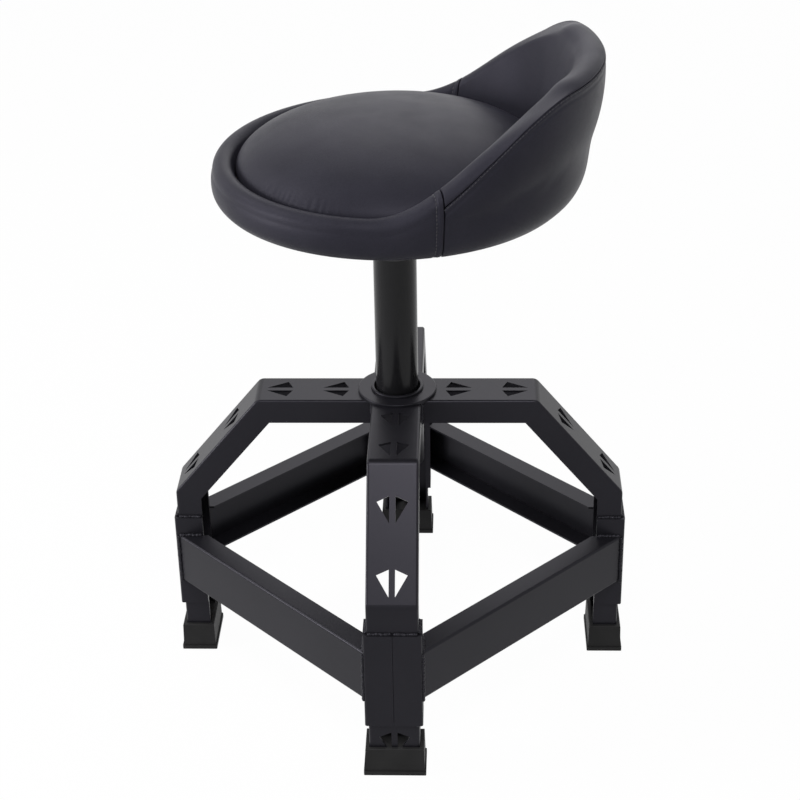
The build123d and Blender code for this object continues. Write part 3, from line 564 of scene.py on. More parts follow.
def swept_curve(points, pieces=32):
    """A curve from its two ends and the handles between them: its length, and a function from the length
    walked along it to a place."""
    def place(t):
        shares = ((1 - t) ** 3, 3 * t * (1 - t) ** 2, 3 * t * t * (1 - t), t ** 3)
        return [sum(part * point[axis] for part, point in zip(shares, points)) for axis in (0, 1)]

    line = [place(index / pieces) for index in range(pieces + 1)]
    walked = [0.0]
    for (ax, ay), (bx, by) in zip(line, line[1:]):
        walked.append(walked[-1] + hypot(bx - ax, by - ay))

    def along(step):
        index = max(i for i in range(pieces) if walked[i] <= step or i == 0)
        return place((index + (step - walked[index]) / (walked[index + 1] - walked[index])) / pieces)

    return walked[-1], along


def stretch(*points, rows=0, after=(), before=(), pin=0.0):
    """One stretch of an outline: its two ends, an arc's three points or a curve's four, then how many rows to
    space evenly, the rows close after and before its ends, and how firmly its points are pinned."""
    return points, rows, after, before, pin


def stretch_points(points, count, after, before):
    """Points along one stretch of an outline, without its last."""
    if len(points) == 2:
        (x0, y0), (x1, y1) = points
        total = hypot(x1 - x0, y1 - y0)
    elif len(points) == 4:
        total, along = swept_curve(points)
    else:
        (x, y), radius, first, sweep = circle_through(*points)
        total = radius * abs(sweep)
    low = after[-1] if after else 0.0
    high = total - (before[0] if before else 0.0)
    steps = [0.0, *after, *(low + (high - low) * (row + 1) / (count + 1) for row in range(count)),
             *(total - gap for gap in before)]
    for step in steps:
        part = step / total
        if len(points) == 2:
            yield x0 + (x1 - x0) * part, y0 + (y1 - y0) * part
        elif len(points) == 4:
            yield tuple(along(step))
        else:
            yield x + radius * cos(first + sweep * part), y + radius * sin(first + sweep * part)


def between(low, high, part):
    return low + (high - low) * part


def rise(around, crown, end):
    """How far the roll has risen from ring to back at an angle, from 0 to 1."""
    part = min(max((abs(around) - crown) / (end - crown), 0.0), 1.0)
    return (1 + cos(pi * part)) / 2


def roll_points(seat, around):
    """The named corners of the padded roll's section at an angle, as (radius, height)."""
    around = around if around <= pi else 2 * pi - around
    up = rise(around, seat.crest_crown, seat.crest_end)
    seam_up = rise(around, seat.seam_crown, seat.seam_end)
    edge, low = seat.board_radius, seat.board_bottom - seat.under_drop
    crest_low = seat.board_bottom + seat.ring_height
    crest = crest_low + seat.back_rise * up

    under = (edge + seat.under_overhang, low)
    waist = (edge + between(seat.ring_waist_overhang, seat.back_waist_overhang, up),
             crest_low - seat.ring_waist_drop + seat.back_waist_rise * up)
    seam = (edge + between(seat.ring_seam_overhang, seat.back_seam_overhang, seam_up),
            crest_low + seat.back_rise * seam_up - between(seat.ring_seam_drop, seat.back_seam_drop, seam_up))

    run = hypot(seam[0] - waist[0], seam[1] - waist[1])
    bow = between(seat.ring_bow, seat.back_bow, up)
    lean = atan2(waist[1] - seam[1], waist[0] - seam[0]) - 2 * atan2(2 * bow, run)
    drop = (waist[1] - under[1]) * seat.belly_drop
    reach = (waist[0] - under[0]) * seat.belly_reach

    slot = seat.shell_wall + 2 * seat.shell_gap
    slot_out = (seam[0] - seat.shell_top_inset, seam[1] - seat.shell_top_drop + seat.shell_gap)
    foot = edge - seat.shell_foot_inset + seat.shell_gap
    return {
        "under": under,
        "waist": waist,
        "seam": seam,
        "crest": (edge + seat.back_crest_overhang * up, crest),
        "inner": (edge + between(-seat.ring_inner_inset, seat.back_inner_overhang, up),
                  crest - between(seat.ring_inner_drop, seat.back_inner_drop, up)),
        "root": (edge - seat.bay_inset, crest_low - seat.ring_root_drop + seat.back_root_rise * up),
        "bay": (edge - seat.bay_inset, seat.board_top),
        "edge_low": (edge + seat.board_gap, low),
        "edge_high": (edge + seat.board_gap, seat.board_top),
        "flank": ((seam[0] + waist[0]) / 2 + bow * (seam[1] - waist[1]) / run,
                  (seam[1] + waist[1]) / 2 - bow * (seam[0] - waist[0]) / run),
        "belly_high": (waist[0] + drop * cos(lean), waist[1] + drop * sin(lean)),
        "belly_low": (under[0] + reach, under[1] + reach * tan(seat.belly_angle)),
        "slot_out": slot_out,
        "slot_in": (slot_out[0] - slot, slot_out[1]),
        "foot_out": (foot, seat.board_top),
        "foot_in": (foot - slot, seat.board_top),
    }


# Distances of the rows of points beside a seam, and from section to section away from the seams
rim_rows = (0.0009, 0.0020, 0.0042, 0.0064, 0.0086, 0.0108)
close_rows = rim_rows[:2]
section_pitch = 0.0075


def ring_stretches(seat, around, parting):
    """The ring's outline, from the bay over the crest, round and back under to the board. It has no rim
    seam to part."""
    p = roll_points(seat, around)
    return [
        stretch(p["bay"], p["root"], rows=1, pin=1.0),
        stretch(p["root"], p["inner"], rows=3),
        stretch(p["inner"], p["crest"], p["seam"], rows=7),
        stretch(p["seam"], p["flank"], p["waist"], rows=3),
        stretch(p["waist"], p["belly_high"], p["belly_low"], p["under"], rows=6),
        stretch(p["under"], p["edge_low"], pin=1.0),
        stretch(p["edge_low"], p["edge_high"], rows=1, pin=1.0),
        stretch(p["edge_high"], p["bay"], rows=1, pin=1.0),
    ]


def part_seam(p, parting):
    """The rim seam and the shell's top, moved to one side of the seam."""
    (sx, sy), (tx, ty) = p["seam"], p["slot_out"]
    run = hypot(tx - sx, ty - sy)
    across = ((ty - sy) / run * parting, -(tx - sx) / run * parting)
    return (sx + across[0], sy + across[1]), (tx + across[0], ty + across[1])


def inner_stretches(seat, around, parting):
    """The back's inner pad, from the bay up the inside, over the crest to the rim seam and down the shell."""
    p = roll_points(seat, around)
    seam, top = part_seam(p, parting)
    return [
        stretch(p["bay"], p["root"], rows=1, pin=1.0),
        stretch(p["root"], p["inner"], rows=12),
        stretch(p["inner"], p["crest"], seam, rows=7, before=rim_rows[2::-1]),
        stretch(seam, top, rows=1, after=close_rows, pin=1.0),
        stretch(top, p["slot_in"], pin=1.0),
        stretch(p["slot_in"], p["foot_in"], rows=7, pin=1.0),
        stretch(p["foot_in"], p["bay"], pin=1.0),
    ]


def outer_stretches(seat, around, parting):
    """The back's outer pad, from the shell's foot up to the rim seam, down the outside and under."""
    p = roll_points(seat, around)
    seam, top = part_seam(p, -parting)
    return [
        stretch(p["foot_out"], top, rows=7, pin=1.0),
        stretch(top, seam, rows=1, before=close_rows[::-1], pin=1.0),
        stretch(seam, p["flank"], p["waist"], rows=8, after=rim_rows),
        stretch(p["waist"], p["belly_high"], p["belly_low"], p["under"], rows=10),
        stretch(p["under"], p["edge_low"], pin=1.0),
        stretch(p["edge_low"], p["edge_high"], rows=1, pin=1.0),
        stretch(p["edge_high"], p["foot_out"], pin=1.0),
    ]


def station_angles(seat, first, last):
    """Angles between two seams, close together near each seam."""
    reach = seat.board_radius
    close = [gap / reach for gap in (0.0, *rim_rows[:5])]
    room = last - first - 2 * close[-1]
    count = round(room * reach / section_pitch)
    middle = [first + close[-1] + room * step / count for step in range(1, count)]
    return [*(first + gap for gap in close), *middle, *(last - gap for gap in reversed(close))]


def on_seat(seat, around, radius, height):
    turn = around + seat.turn
    return Vector((radius * cos(turn), radius * sin(turn), height))


def roll_mesh(name, seat, sewing, stretches, first, last):
    """A closed pad made of one section after another. Points that can't give are pinned."""
    tuck_shares = (1.0, 0.35, 0.08, 0.0)
    pinned_sections = 5
    bm = bmesh.new()
    pins = bm.verts.layers.float.new("pin")
    angles = station_angles(seat, first, last)
    rows = []
    for place, around in enumerate(angles):
        loop, held = [], []
        for *run, pin in stretches(seat, around, sewing.seam_parting):
            points = list(stretch_points(*run))
            loop += points
            held += [pin] * len(points)
        from_end = min(place, len(angles) - 1 - place)
        tuck = sewing.seam_roll * tuck_shares[min(from_end, 3)]
        middle = [sum(axis) / len(loop) for axis in zip(*loop)]
        row = []
        for index, (radius, height) in enumerate(loop):
            before, after = loop[index - 1], loop[(index + 1) % len(loop)]
            along = Vector((after[0] - before[0], after[1] - before[1])).normalized()
            inward = Vector((-along.y, along.x)) * tuck
            if inward.dot(Vector((middle[0] - radius, middle[1] - height))) < 0:
                inward = -inward
            vert = bm.verts.new(on_seat(seat, around, radius + inward.x, height + inward.y))
            near_seam = max(0.0, 1.0 - from_end / pinned_sections)
            vert[pins] = max(held[index], held[index - 1], near_seam)
            row.append(vert)
        rows.append(row)
    for low, high in zip(rows, rows[1:]):
        for index in range(len(low)):
            bm.faces.new((low[index - 1], low[index], high[index], high[index - 1]))
    bm.faces.new(rows[0])
    bm.faces.new(reversed(rows[-1]))
    bmesh.ops.recalc_face_normals(bm, faces=bm.faces)
    return made_mesh(bm, name)


# Heights of the cushion's crown over its edge, by shares of its radius, and how steeply it meets the edge
crown_places = (0.0, 0.35, 0.58, 0.756, 0.872, 0.93, 0.977, 1.0)
crown_heights = (1.0, 0.955, 0.844, 0.689, 0.52, 0.391, 0.23, 0.0)
crown_edge_slope = 2.2


def cushion_height(across):
    """Height of the cushion's crown at a share of its radius, as a share of its middle's."""
    def slope(i, j):
        return (crown_heights[j] - crown_heights[i]) / (crown_places[j] - crown_places[i])

    last = len(crown_places) - 1
    slopes = [0.0, *(slope(i - 1, i + 1) for i in range(1, last)), crown_edge_slope * slope(last - 1, last)]
    for i in range(last):
        if across <= crown_places[i + 1]:
            span = crown_places[i + 1] - crown_places[i]
            t = (across - crown_places[i]) / span
            return (crown_heights[i] * (1 + 2 * t) * (1 - t) ** 2 + crown_heights[i + 1] * t * t * (3 - 2 * t)
                    + slopes[i] * span * t * (1 - t) ** 2 + slopes[i + 1] * span * t * t * (t - 1))
    return 0.0


def cushion_mesh(name, seat):
    """A crowned disc from a square grid bent into a circle, with its side tucked in to the board."""
    cells = 44
    pinned_share = 0.035
    side_rows = (0.12, 0.3, 0.6, 1.0)
    bm = bmesh.new()
    pins = bm.verts.layers.float.new("pin")
    radius = seat.board_radius - seat.bay_inset - seat.cushion_gap
    rim = seat.board_bottom + seat.ring_height - seat.cushion_rim_drop
    grid = []
    for i in range(cells + 1):
        line = []
        for j in range(cells + 1):
            u, v = sin(pi / 2 * (2 * i / cells - 1)), sin(pi / 2 * (2 * j / cells - 1))
            x, y = u * sqrt(1 - v * v / 2), v * sqrt(1 - u * u / 2)
            across = min(hypot(x, y), 1.0)
            vert = bm.verts.new((x * radius, y * radius, rim + seat.cushion_crown * cushion_height(across)))
            vert[pins] = min(max((across - (1 - pinned_share)) / pinned_share, 0.0), 1.0)
            line.append(vert)
        grid.append(line)
    for i in range(cells):
        for j in range(cells):
            bm.faces.new((grid[i][j], grid[i + 1][j], grid[i + 1][j + 1], grid[i][j + 1]))
    edge = ([grid[i][0] for i in range(cells)] + [grid[cells][j] for j in range(cells)]
            + [grid[cells - i][cells] for i in range(cells)] + [grid[0][cells - j] for j in range(cells)])
    ring = edge
    for down in side_rows:
        height = between(rim, seat.board_top, down)
        shrink = (radius - seat.cushion_edge_inset * down ** 1.5) / radius
        low = [bm.verts.new((v.co.x * shrink, v.co.y * shrink, height)) for v in edge]
        for v in low:
            v[pins] = 1.0
        for i in range(len(ring)):
            bm.faces.new((ring[i], ring[i - 1], low[i - 1], low[i]))
        ring = low
    bm.faces.new(ring)
    bmesh.ops.recalc_face_normals(bm, faces=bm.faces)
    return made_mesh(bm, name)


def fill_pad(piece, sewing):
    """Fills a pad: the cover starts a little small and swells under pressure. What it gains or lacks all
    over is evened out, its unevenness is scaled down to a set spread, and no point may move far. So the
    pad's shape is the modelled one, and filling only adds a little unevenness to it."""
    last_frame = 20
    free_pin = 0.05
    mesh = piece.data
    pin = [entry.value for entry in mesh.attributes["pin"].data]
    rest = [(v.co.copy(), v.normal.copy()) for v in mesh.vertices]
    for vert, (place, normal) in zip(mesh.vertices, rest):
        vert.co = place - normal * sewing.start_inset * (1 - pin[vert.index])
    held = piece.vertex_groups.new(name="held")
    for index, weight in enumerate(pin):
        held.add([index], weight, "REPLACE")
    cloth = piece.modifiers.new("filling", "CLOTH")
    settings = cloth.settings
    settings.quality = 6
    settings.mass = 0.4
    settings.tension_stiffness = settings.compression_stiffness = sewing.cover_stiffness
    settings.shear_stiffness = sewing.cover_stiffness / 2
    settings.bending_stiffness = sewing.bending_stiffness
    settings.use_pressure = True
    settings.uniform_pressure_force = sewing.fill_pressure
    settings.vertex_group_mass = held.name
    settings.effector_weights.gravity = 0.0
    cloth.collision_settings.use_collision = False
    scene = bpy.context.scene
    for step in range(1, last_frame + 1):
        scene.frame_set(step)
    evaluated = piece.evaluated_get(bpy.context.evaluated_depsgraph_get())
    filled = [v.co.copy() for v in evaluated.data.vertices]
    piece.modifiers.clear()
    scene.frame_set(1)
    gains = [(filled[index] - place).dot(normal) for index, (place, normal) in enumerate(rest)
             if pin[index] < free_pin]
    gain = sum(gains) / len(gains)
    spread = sqrt(sum((one - gain) ** 2 for one in gains) / len(gains))
    for vert, (place, normal) in zip(mesh.vertices, rest):
        swell = (filled[vert.index] - place - normal * gain) * min(1.0, sewing.unevenness / spread)
        if swell.length > sewing.most_swell:
            swell *= sewing.most_swell / swell.length
        vert.co = place + swell * (1 - pin[vert.index])
    mesh.update()


def smooth_pad(piece):
    """Subdivides a pad twice and bakes it."""
    soft = piece.modifiers.new("soft", "SUBSURF")
    soft.levels = soft.render_levels = 2
    bake_modifiers(piece)
    piece.data.shade_smooth()
    return piece


def surface_of(piece):
    mesh = piece.data
    return BVHTree.FromPolygons([v.co for v in mesh.vertices], [p.vertices for p in mesh.polygons])


# Spacing of the points along a row of stitches, under the stitches themselves, and along a weld
row_step = 0.0006
stitch_step = 0.001
weld_step = 0.0006


def row_on(surface, guide, pitch):
    """A guide line laid on a surface, as evenly spaced (point, normal) pairs."""
    laid = [surface.find_nearest(point)[:2] for point in guide]
    row = [laid[0]]
    walked = 0.0
    for (a, _), (b, normal) in zip(laid, laid[1:]):
        walked += (b - a).length
        if walked >= pitch:
            row.append((b, normal))
            walked = 0.0
    return row


def side_guide(seat, around, stretches):
    """The visible part of a section's outline at an angle, as close points, from inside the groove on."""
    rows, in_groove = 60, 20
    guide = []
    for points, _, _, _, pin in stretches(seat, around, 0.0):
        if pin < 1.0:
            guide += [on_seat(seat, around, *point) for point in stretch_points(points, rows, (), ())]
    return guide[in_groove:]


def rim_guide(seat, offset, first, last):
    """A line at a distance down the outer side from the rim seam."""
    count = 1200
    guide = []
    for step in range(count + 1):
        around = between(first, last, step / count)
        p = roll_points(seat, around)
        (sx, sy), (wx, wy) = p["seam"], p["waist"]
        part = offset / hypot(wx - sx, wy - sy)
        guide.append(on_seat(seat, around, between(sx, wx, part), between(sy, wy, part)))
    return guide


def shift_near(piece, points, reach, shift):
    """Moves the vertices that lie within reach of some points, each by shift(vertex, index, gap) of the
    nearest."""
    tree = KDTree(len(points))
    for index, point in enumerate(points):
        tree.insert(point, index)
    tree.balance()
    mesh = piece.data
    found = [(vert, *tree.find(vert.co)[1:]) for vert in mesh.vertices]
    shifts = [(vert, shift(vert, index, gap)) for vert, index, gap in found if gap < reach]
    for vert, move in shifts:
        vert.co += move
    mesh.update()


def pull_in(piece, rows, sink, valley):
    """Draws a cover in along rows of stitches."""
    points = [point for row in rows for point, _ in row]
    shift_near(piece, points, valley,
               lambda vert, index, gap: vert.normal * -sink * (1 - (gap / valley) ** 2) ** 2)


def pucker_seams(piece, rows, height, pitch, reach=0.012):
    """Small ridges that cross a seam and fade away from it."""
    points, walked = [], []
    for row in rows:
        run = 0.0
        for index, (point, _) in enumerate(row):
            run += (point - row[index - 1][0]).length if index else 0.0
            points.append(point)
            walked.append(run)

    def ridge(vert, index, gap):
        drift = noise.noise(vert.co * 40.0) * 1.5
        wave = sin(2 * pi * walked[index] / pitch + drift) * (0.5 + noise.noise(vert.co * 25.0))
        return vert.normal * height * wave * (1 - gap / reach) ** 2

    shift_near(piece, points, reach, ridge)


def crease_cushion(piece, sewing, seat):
    """Short creases that run in from the cushion's edge, strongest at its front left."""
    strongest, half_width, elsewhere = radians(-126), radians(22), 0.06
    start = 0.92
    side_height = 0.004
    radius = seat.board_radius - seat.bay_inset
    for vert in piece.data.vertices:
        out = hypot(vert.co.x, vert.co.y) / radius
        if vert.co.z < seat.board_top + side_height or out <= start:
            continue
        around = atan2(vert.co.y, vert.co.x)
        front_left = max(0.0, 1.0 - abs(around - strongest) / half_width) ** 0.7
        amount = between(elsewhere, 1.0, front_left)
        fade = ((out - start) / (1 - start)) ** 1.3
        along = Vector((cos(around), sin(around), 0.0)) * radius
        drift = 5.0 * noise.noise(along * 45.0)
        wave = sin(around * radius * 2 * pi / sewing.crease_pitch + drift) ** 3
        patch = max(0.0, 0.35 + 1.4 * noise.noise(along * 28.0))
        vert.co.z += sewing.crease * amount * fade * wave * patch
    piece.data.update()


def path_mesh(name, paths):
    """Open polylines with the surface's normal kept at each point as the attribute lift."""
    verts, edges, lifts = [], [], []
    for path in paths:
        base = len(verts)
        for point, normal in path:
            verts.append(point)
            lifts.extend(normal)
        edges += [(base + i, base + i + 1) for i in range(len(path) - 1)]
    mesh = bpy.data.meshes.new(name)
    mesh.from_pydata(verts, edges, [])
    mesh.attributes.new("lift", "FLOAT_VECTOR", "POINT").data.foreach_set("vector", lifts)
    return mesh


# Geometry node trees


def painted_balls(tree, points, rotation, detail, size, material, **more):
    """Stretched balls put on points, made one mesh and given their finish."""
    segments, rings = detail
    ball = add_node(tree, "GeometryNodeMeshUVSphere", Segments=segments, Rings=rings, Radius=0.5)
    shaped = add_node(tree, "GeometryNodeTransform", Geometry=ball, Scale=size)
    balls = add_node(tree, "GeometryNodeInstanceOnPoints", Points=points, Instance=shaped, Rotation=rotation,
                     **more)
    real = add_node(tree, "GeometryNodeRealizeInstances", Geometry=balls)
    soft = add_node(tree, "GeometryNodeSetShadeSmooth", Geometry=real)
    return add_node(tree, "GeometryNodeSetMaterial", Geometry=soft, Material=material)


def random_vector(tree, seed, low, high):
    settings = {"data_type": "FLOAT_VECTOR"}
    return add_node(tree, "FunctionNodeRandomValue", settings, Seed=seed, i0=low, i1=high)


def beads_on_paths():
    """Rounded beads in a row along each path: stitches, or the ripples of a weld."""
    tree, given, end = new_group(
        "beads_on_paths", "GeometryNodeTree",
        [("Paths", "Geometry", None), ("Pitch", "Float", 0.004),
         ("Bead size", "Vector", (0.003, 0.001, 0.001)), ("Lift", "Float", 0.0), ("Wander", "Float", 0.0),
         ("Size change", "Float", 0.0), ("Seed", "Int", 7), ("Finish", "Material", None)],
        [("Beads", "Geometry")],
    )
    curve = add_node(tree, "GeometryNodeMeshToCurve", Mesh=given["Paths"])
    spaced = add_node(tree, "GeometryNodeResampleCurve", {"mode": "LENGTH"}, Curve=curve,
                      Length=given["Pitch"])
    lift = add_node(tree, "GeometryNodeInputNamedAttribute", {"data_type": "FLOAT_VECTOR"}, Name="lift")
    tangent = tree.nodes.new("GeometryNodeInputTangent")
    along = add_node(tree, "FunctionNodeAlignRotationToVector", {"axis": "X"}, Vector=tangent)
    upright = add_node(tree, "FunctionNodeAlignRotationToVector", {"axis": "Z", "pivot_axis": "X"},
                       Rotation=along, Vector=lift)
    raised = scaled(tree, lift, given["Lift"])
    stray = random_vector(tree, given["Seed"], (-1.0, -1.0, -1.0), (1.0, 1.0, 1.0))
    shift = calculate(tree, "ADD", raised, scaled(tree, stray, given["Wander"]), kind="VectorMath")
    placed = add_node(tree, "GeometryNodeSetPosition", Geometry=spaced, Offset=shift)
    size_change = add_node(tree, "FunctionNodeRandomValue", {"data_type": "FLOAT"}, Seed=given["Seed"],
                           i2=calculate(tree, "SUBTRACT", 1.0, given["Size change"]),
                           i3=calculate(tree, "ADD", 1.0, given["Size change"]))
    plug(tree, end, Beads=painted_balls(tree, placed, upright, (8, 6), given["Bead size"], given["Finish"],
                                        Scale=size_change.outputs[1]))
    return tree


def bars_round_circle():
    """Small bars laid round a circle: the crowns of a row of staples."""
    most_tilt = 0.12
    tree, given, end = new_group(
        "bars_round_circle", "GeometryNodeTree",
        [("Count", "Int", 30), ("Radius", "Float", 0.18), ("Height", "Float", 0.6),
         ("Bar size", "Vector", (0.001, 0.01, 0.001)), ("Seed", "Int", 3), ("Finish", "Material", None)],
        [("Bars", "Geometry")],
    )
    circle = add_node(tree, "GeometryNodeMeshCircle", Vertices=given["Count"], Radius=given["Radius"])
    lifted = add_node(tree, "ShaderNodeCombineXYZ", Z=given["Height"])
    ring = add_node(tree, "GeometryNodeSetPosition", Geometry=circle, Offset=lifted)
    place = tree.nodes.new("GeometryNodeInputPosition")
    flat = calculate(tree, "MULTIPLY", place, (1.0, 1.0, 0.0), kind="VectorMath")
    facing = add_node(tree, "FunctionNodeAlignRotationToVector", {"axis": "X", "pivot_axis": "Z"},
                      Vector=flat)
    tilt = random_vector(tree, given["Seed"], (0.0, 0.0, -most_tilt), (0.0, 0.0, most_tilt))
    crooked = add_node(tree, "FunctionNodeEulerToRotation", i0=tilt)
    turned = add_node(tree, "FunctionNodeRotateRotation", Rotation=facing, Rotate_By=crooked)
    plug(tree, end, Bars=painted_balls(tree, ring, turned, (10, 8), given["Bar size"], given["Finish"]))
    return tree


def grow(name, mesh, builder, **inputs):
    """A new piece grown from a mesh by a node tree, baked to plain mesh."""
    tree = built(builder)
    piece = new_piece(name, mesh)
    modifier = piece.modifiers.new(builder.__name__, "NODES")
    modifier.node_group = tree
    sockets = {item.name: item.identifier for item in tree.interface.items_tree if item.in_out == "INPUT"}
    for label, entry in inputs.items():
        modifier[sockets[label.replace("_", " ")]] = entry
    bake_modifiers(piece)
    if not piece.data.polygons:
        raise RuntimeError(f"{name} came out empty")
    return piece


def dress(piece, body, slot, *nodes):
    """Says what a finished piece rides on and which solids it stands for. Its slot, the finish that it would
    take, is not used.
    """
    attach(piece, body)
    if nodes:
        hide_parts(*nodes)
    return piece


class StoolFinishOperator(Operator):
    """Gives every solid of the stool the finish that its material slot names"""

    bl_idname = "stool.finish"
    bl_label = "Finish the solids"

    def execute(self, context):
        for part in frame["record"]["subparts"]:
            material = finish(part["material_slot"])
            solid = frame["nodes"][part["node"]]
            for slot in solid.material_slots:
                slot.material = material
            if not solid.material_slots:
                raise RuntimeError(f"{part['node']} has no material slot")
        return {"FINISHED"}


class StoolCushionOperator(Operator):
    """Makes the crowned round cushion in the ring's bay"""

    bl_idname = "stool.cushion"
    bl_label = "Cushion"

    def execute(self, context):
        seat, sewing = context.scene.stool_seat, context.scene.stool_sewing
        cushion = new_piece("cushion_cover", cushion_mesh("cushion_cover", seat), finish("seat_leather"))
        fill_pad(cushion, sewing)
        smooth_pad(cushion)
        crease_cushion(cushion, sewing, seat)
        dress(cushion, "seat", "seat_leather", "seat_cushion")
        return {"FINISHED"}


class StoolRollOperator(Operator):
    """Makes the padded ring and the two halves of the back, with their seams and stitches"""

    bl_idname = "stool.roll"
    bl_label = "Ring and back"

    def execute(self, context):
        seat, sewing = context.scene.stool_seat, context.scene.stool_sewing
        gap = sewing.seam_parting / seat.board_radius
        first, last = -seat.near_seam + gap, seat.far_seam - gap
        ring_first, ring_last = seat.far_seam + gap, 2 * pi - seat.near_seam - gap
        pads = []
        for name, node, stretches, low, high in (
            ("ring_cover", "ring_bolster", ring_stretches, ring_first, ring_last),
            ("back_inner_cover", "back_inner_pad", inner_stretches, first, last),
            ("back_outer_cover", "back_outer_pad", outer_stretches, first, last),
        ):
            mesh = roll_mesh(name, seat, sewing, stretches, low, high)
            pad = new_piece(name, mesh, finish("seat_leather"))
            fill_pad(pad, sewing)
            smooth_pad(pad)
            dress(pad, "seat", "seat_leather", node)
            pads.append(pad)
        ring, inner, outer = pads

        side = sewing.side_stitch_offset / seat.board_radius
        ring_surface, outer_surface = surface_of(ring), surface_of(outer)
        ring_rows = [
            row_on(ring_surface, side_guide(seat, around, ring_stretches), row_step)
            for around in (seat.far_seam + side, 2 * pi - seat.near_seam - side)
        ]
        stitch_row, fold, rim = (
            row_on(outer_surface, rim_guide(seat, offset, first + gap, last - gap), row_step)
            for offset in (sewing.rim_stitch_offset, sewing.allowance, 0.0)
        )
        pull_in(ring, ring_rows, sewing.stitch_sink, sewing.stitch_valley)
        pull_in(outer, [stitch_row], sewing.stitch_sink / 2, sewing.stitch_valley / 2)
        pull_in(outer, [fold], sewing.allowance_sink, sewing.stitch_valley)
        for pad in (inner, outer):
            pull_in(pad, [rim], sewing.rim_sink, sewing.rim_valley)
        sunk_rows = []
        for pad, rows in ((ring, ring_rows), (outer, [stitch_row])):
            pucker_seams(pad, rows, sewing.pucker, sewing.pucker_pitch)
            surface = surface_of(pad)
            sunk_rows += [row_on(surface, [point for point, _ in row], stitch_step) for row in rows]
        thread = sewing.thread_radius
        stitches = grow(
            "seat_stitches", path_mesh("seat_stitches", sunk_rows), beads_on_paths,
            Pitch=sewing.stitch_pitch, Bead_size=(sewing.stitch_length, thread * 2, thread * 2),
            Lift=thread * 0.35, Finish=finish("sewing_thread"),
        )
        dress(stitches, "seat", "seat_leather")
        return {"FINISHED"}


# The lining below the board, the staples below the lining, and the staples in from the lining's edges
lining_gap = 0.0001
staple_gap = 0.0003
staple_inset = 0.006


def lining_mesh(name, seat, fixing):
    """A ring of cloth under the board, bellying a little between its staples."""
    across_count, steps_per_staple = 14, 8
    edge_belly, wrinkle_height = 0.25, 0.00012
    top = seat.board_bottom - lining_gap - fixing.lining_thickness
    inner, outer = fixing.lining_inner, seat.board_radius - fixing.lining_edge
    around_count = fixing.staple_count * steps_per_staple
    bm = bmesh.new()
    rows = []
    for i in range(around_count):
        around = 2 * pi * i / around_count
        wave = around * fixing.staple_count
        row = []
        for j in range(across_count + 1):
            part = j / across_count
            loose = edge_belly * (0.5 - 0.5 * cos(wave)) * (2 * part - 1) ** 4 + sin(pi * part) ** 0.8
            wrinkle = wrinkle_height * sin(wave) * sin(pi * part)
            radius = between(inner, outer, part)
            height = top - fixing.lining_sag * loose / 2 - wrinkle
            row.append(bm.verts.new((radius * cos(around), radius * sin(around), height)))
        rows.append(row)
    for i in range(around_count):
        low, high = rows[i - 1], rows[i]
        for j in range(across_count):
            bm.faces.new((low[j], high[j], high[j + 1], low[j + 1]))
    for face in bm.faces:
        if face.normal.z > 0:
            face.normal_flip()
    return made_mesh(bm, name)


class StoolLiningOperator(Operator):
    """Makes the stapled lining under the seat"""

    bl_idname = "stool.lining"
    bl_label = "Lining"

    def execute(self, context):
        seat, fixing = context.scene.stool_seat, context.scene.stool_fixing
        lining = new_piece("seat_lining", lining_mesh("seat_lining", seat, fixing), finish("lining_cloth"))
        thick = lining.modifiers.new("thickness", "SOLIDIFY")
        thick.thickness = fixing.lining_thickness
        thick.offset = -1.0
        bake_modifiers(lining)
        lining.data.shade_smooth()
        dress(lining, "seat", "lining_cloth", "underside_cloth")
        outer, inner = seat.board_radius - fixing.lining_edge, fixing.lining_inner
        wire = fixing.staple_wire * 2
        height = seat.board_bottom - lining_gap - fixing.lining_thickness - staple_gap
        for name, radius in (
            ("lining_staples_outer", outer - staple_inset),
            ("lining_staples_inner", inner + staple_inset),
        ):
            staples = grow(
                name, bpy.data.meshes.new(name), bars_round_circle, Count=fixing.staple_count, Radius=radius,
                Height=height, Bar_size=(wire, fixing.staple_width, wire), Finish=finish("bright_steel"),
            )
            dress(staples, "seat", "bright_steel")
        return {"FINISHED"}


def straight_bead(start, end, first, second, lift):
    """A path in the corner of two plates, a little out along both."""
    start, end = Vector(start), Vector(end)
    middle = (first + second).normalized()
    count = max(2, round((end - start).length / weld_step))
    return [(start.lerp(end, i / count) + middle * lift, middle) for i in range(count + 1)]


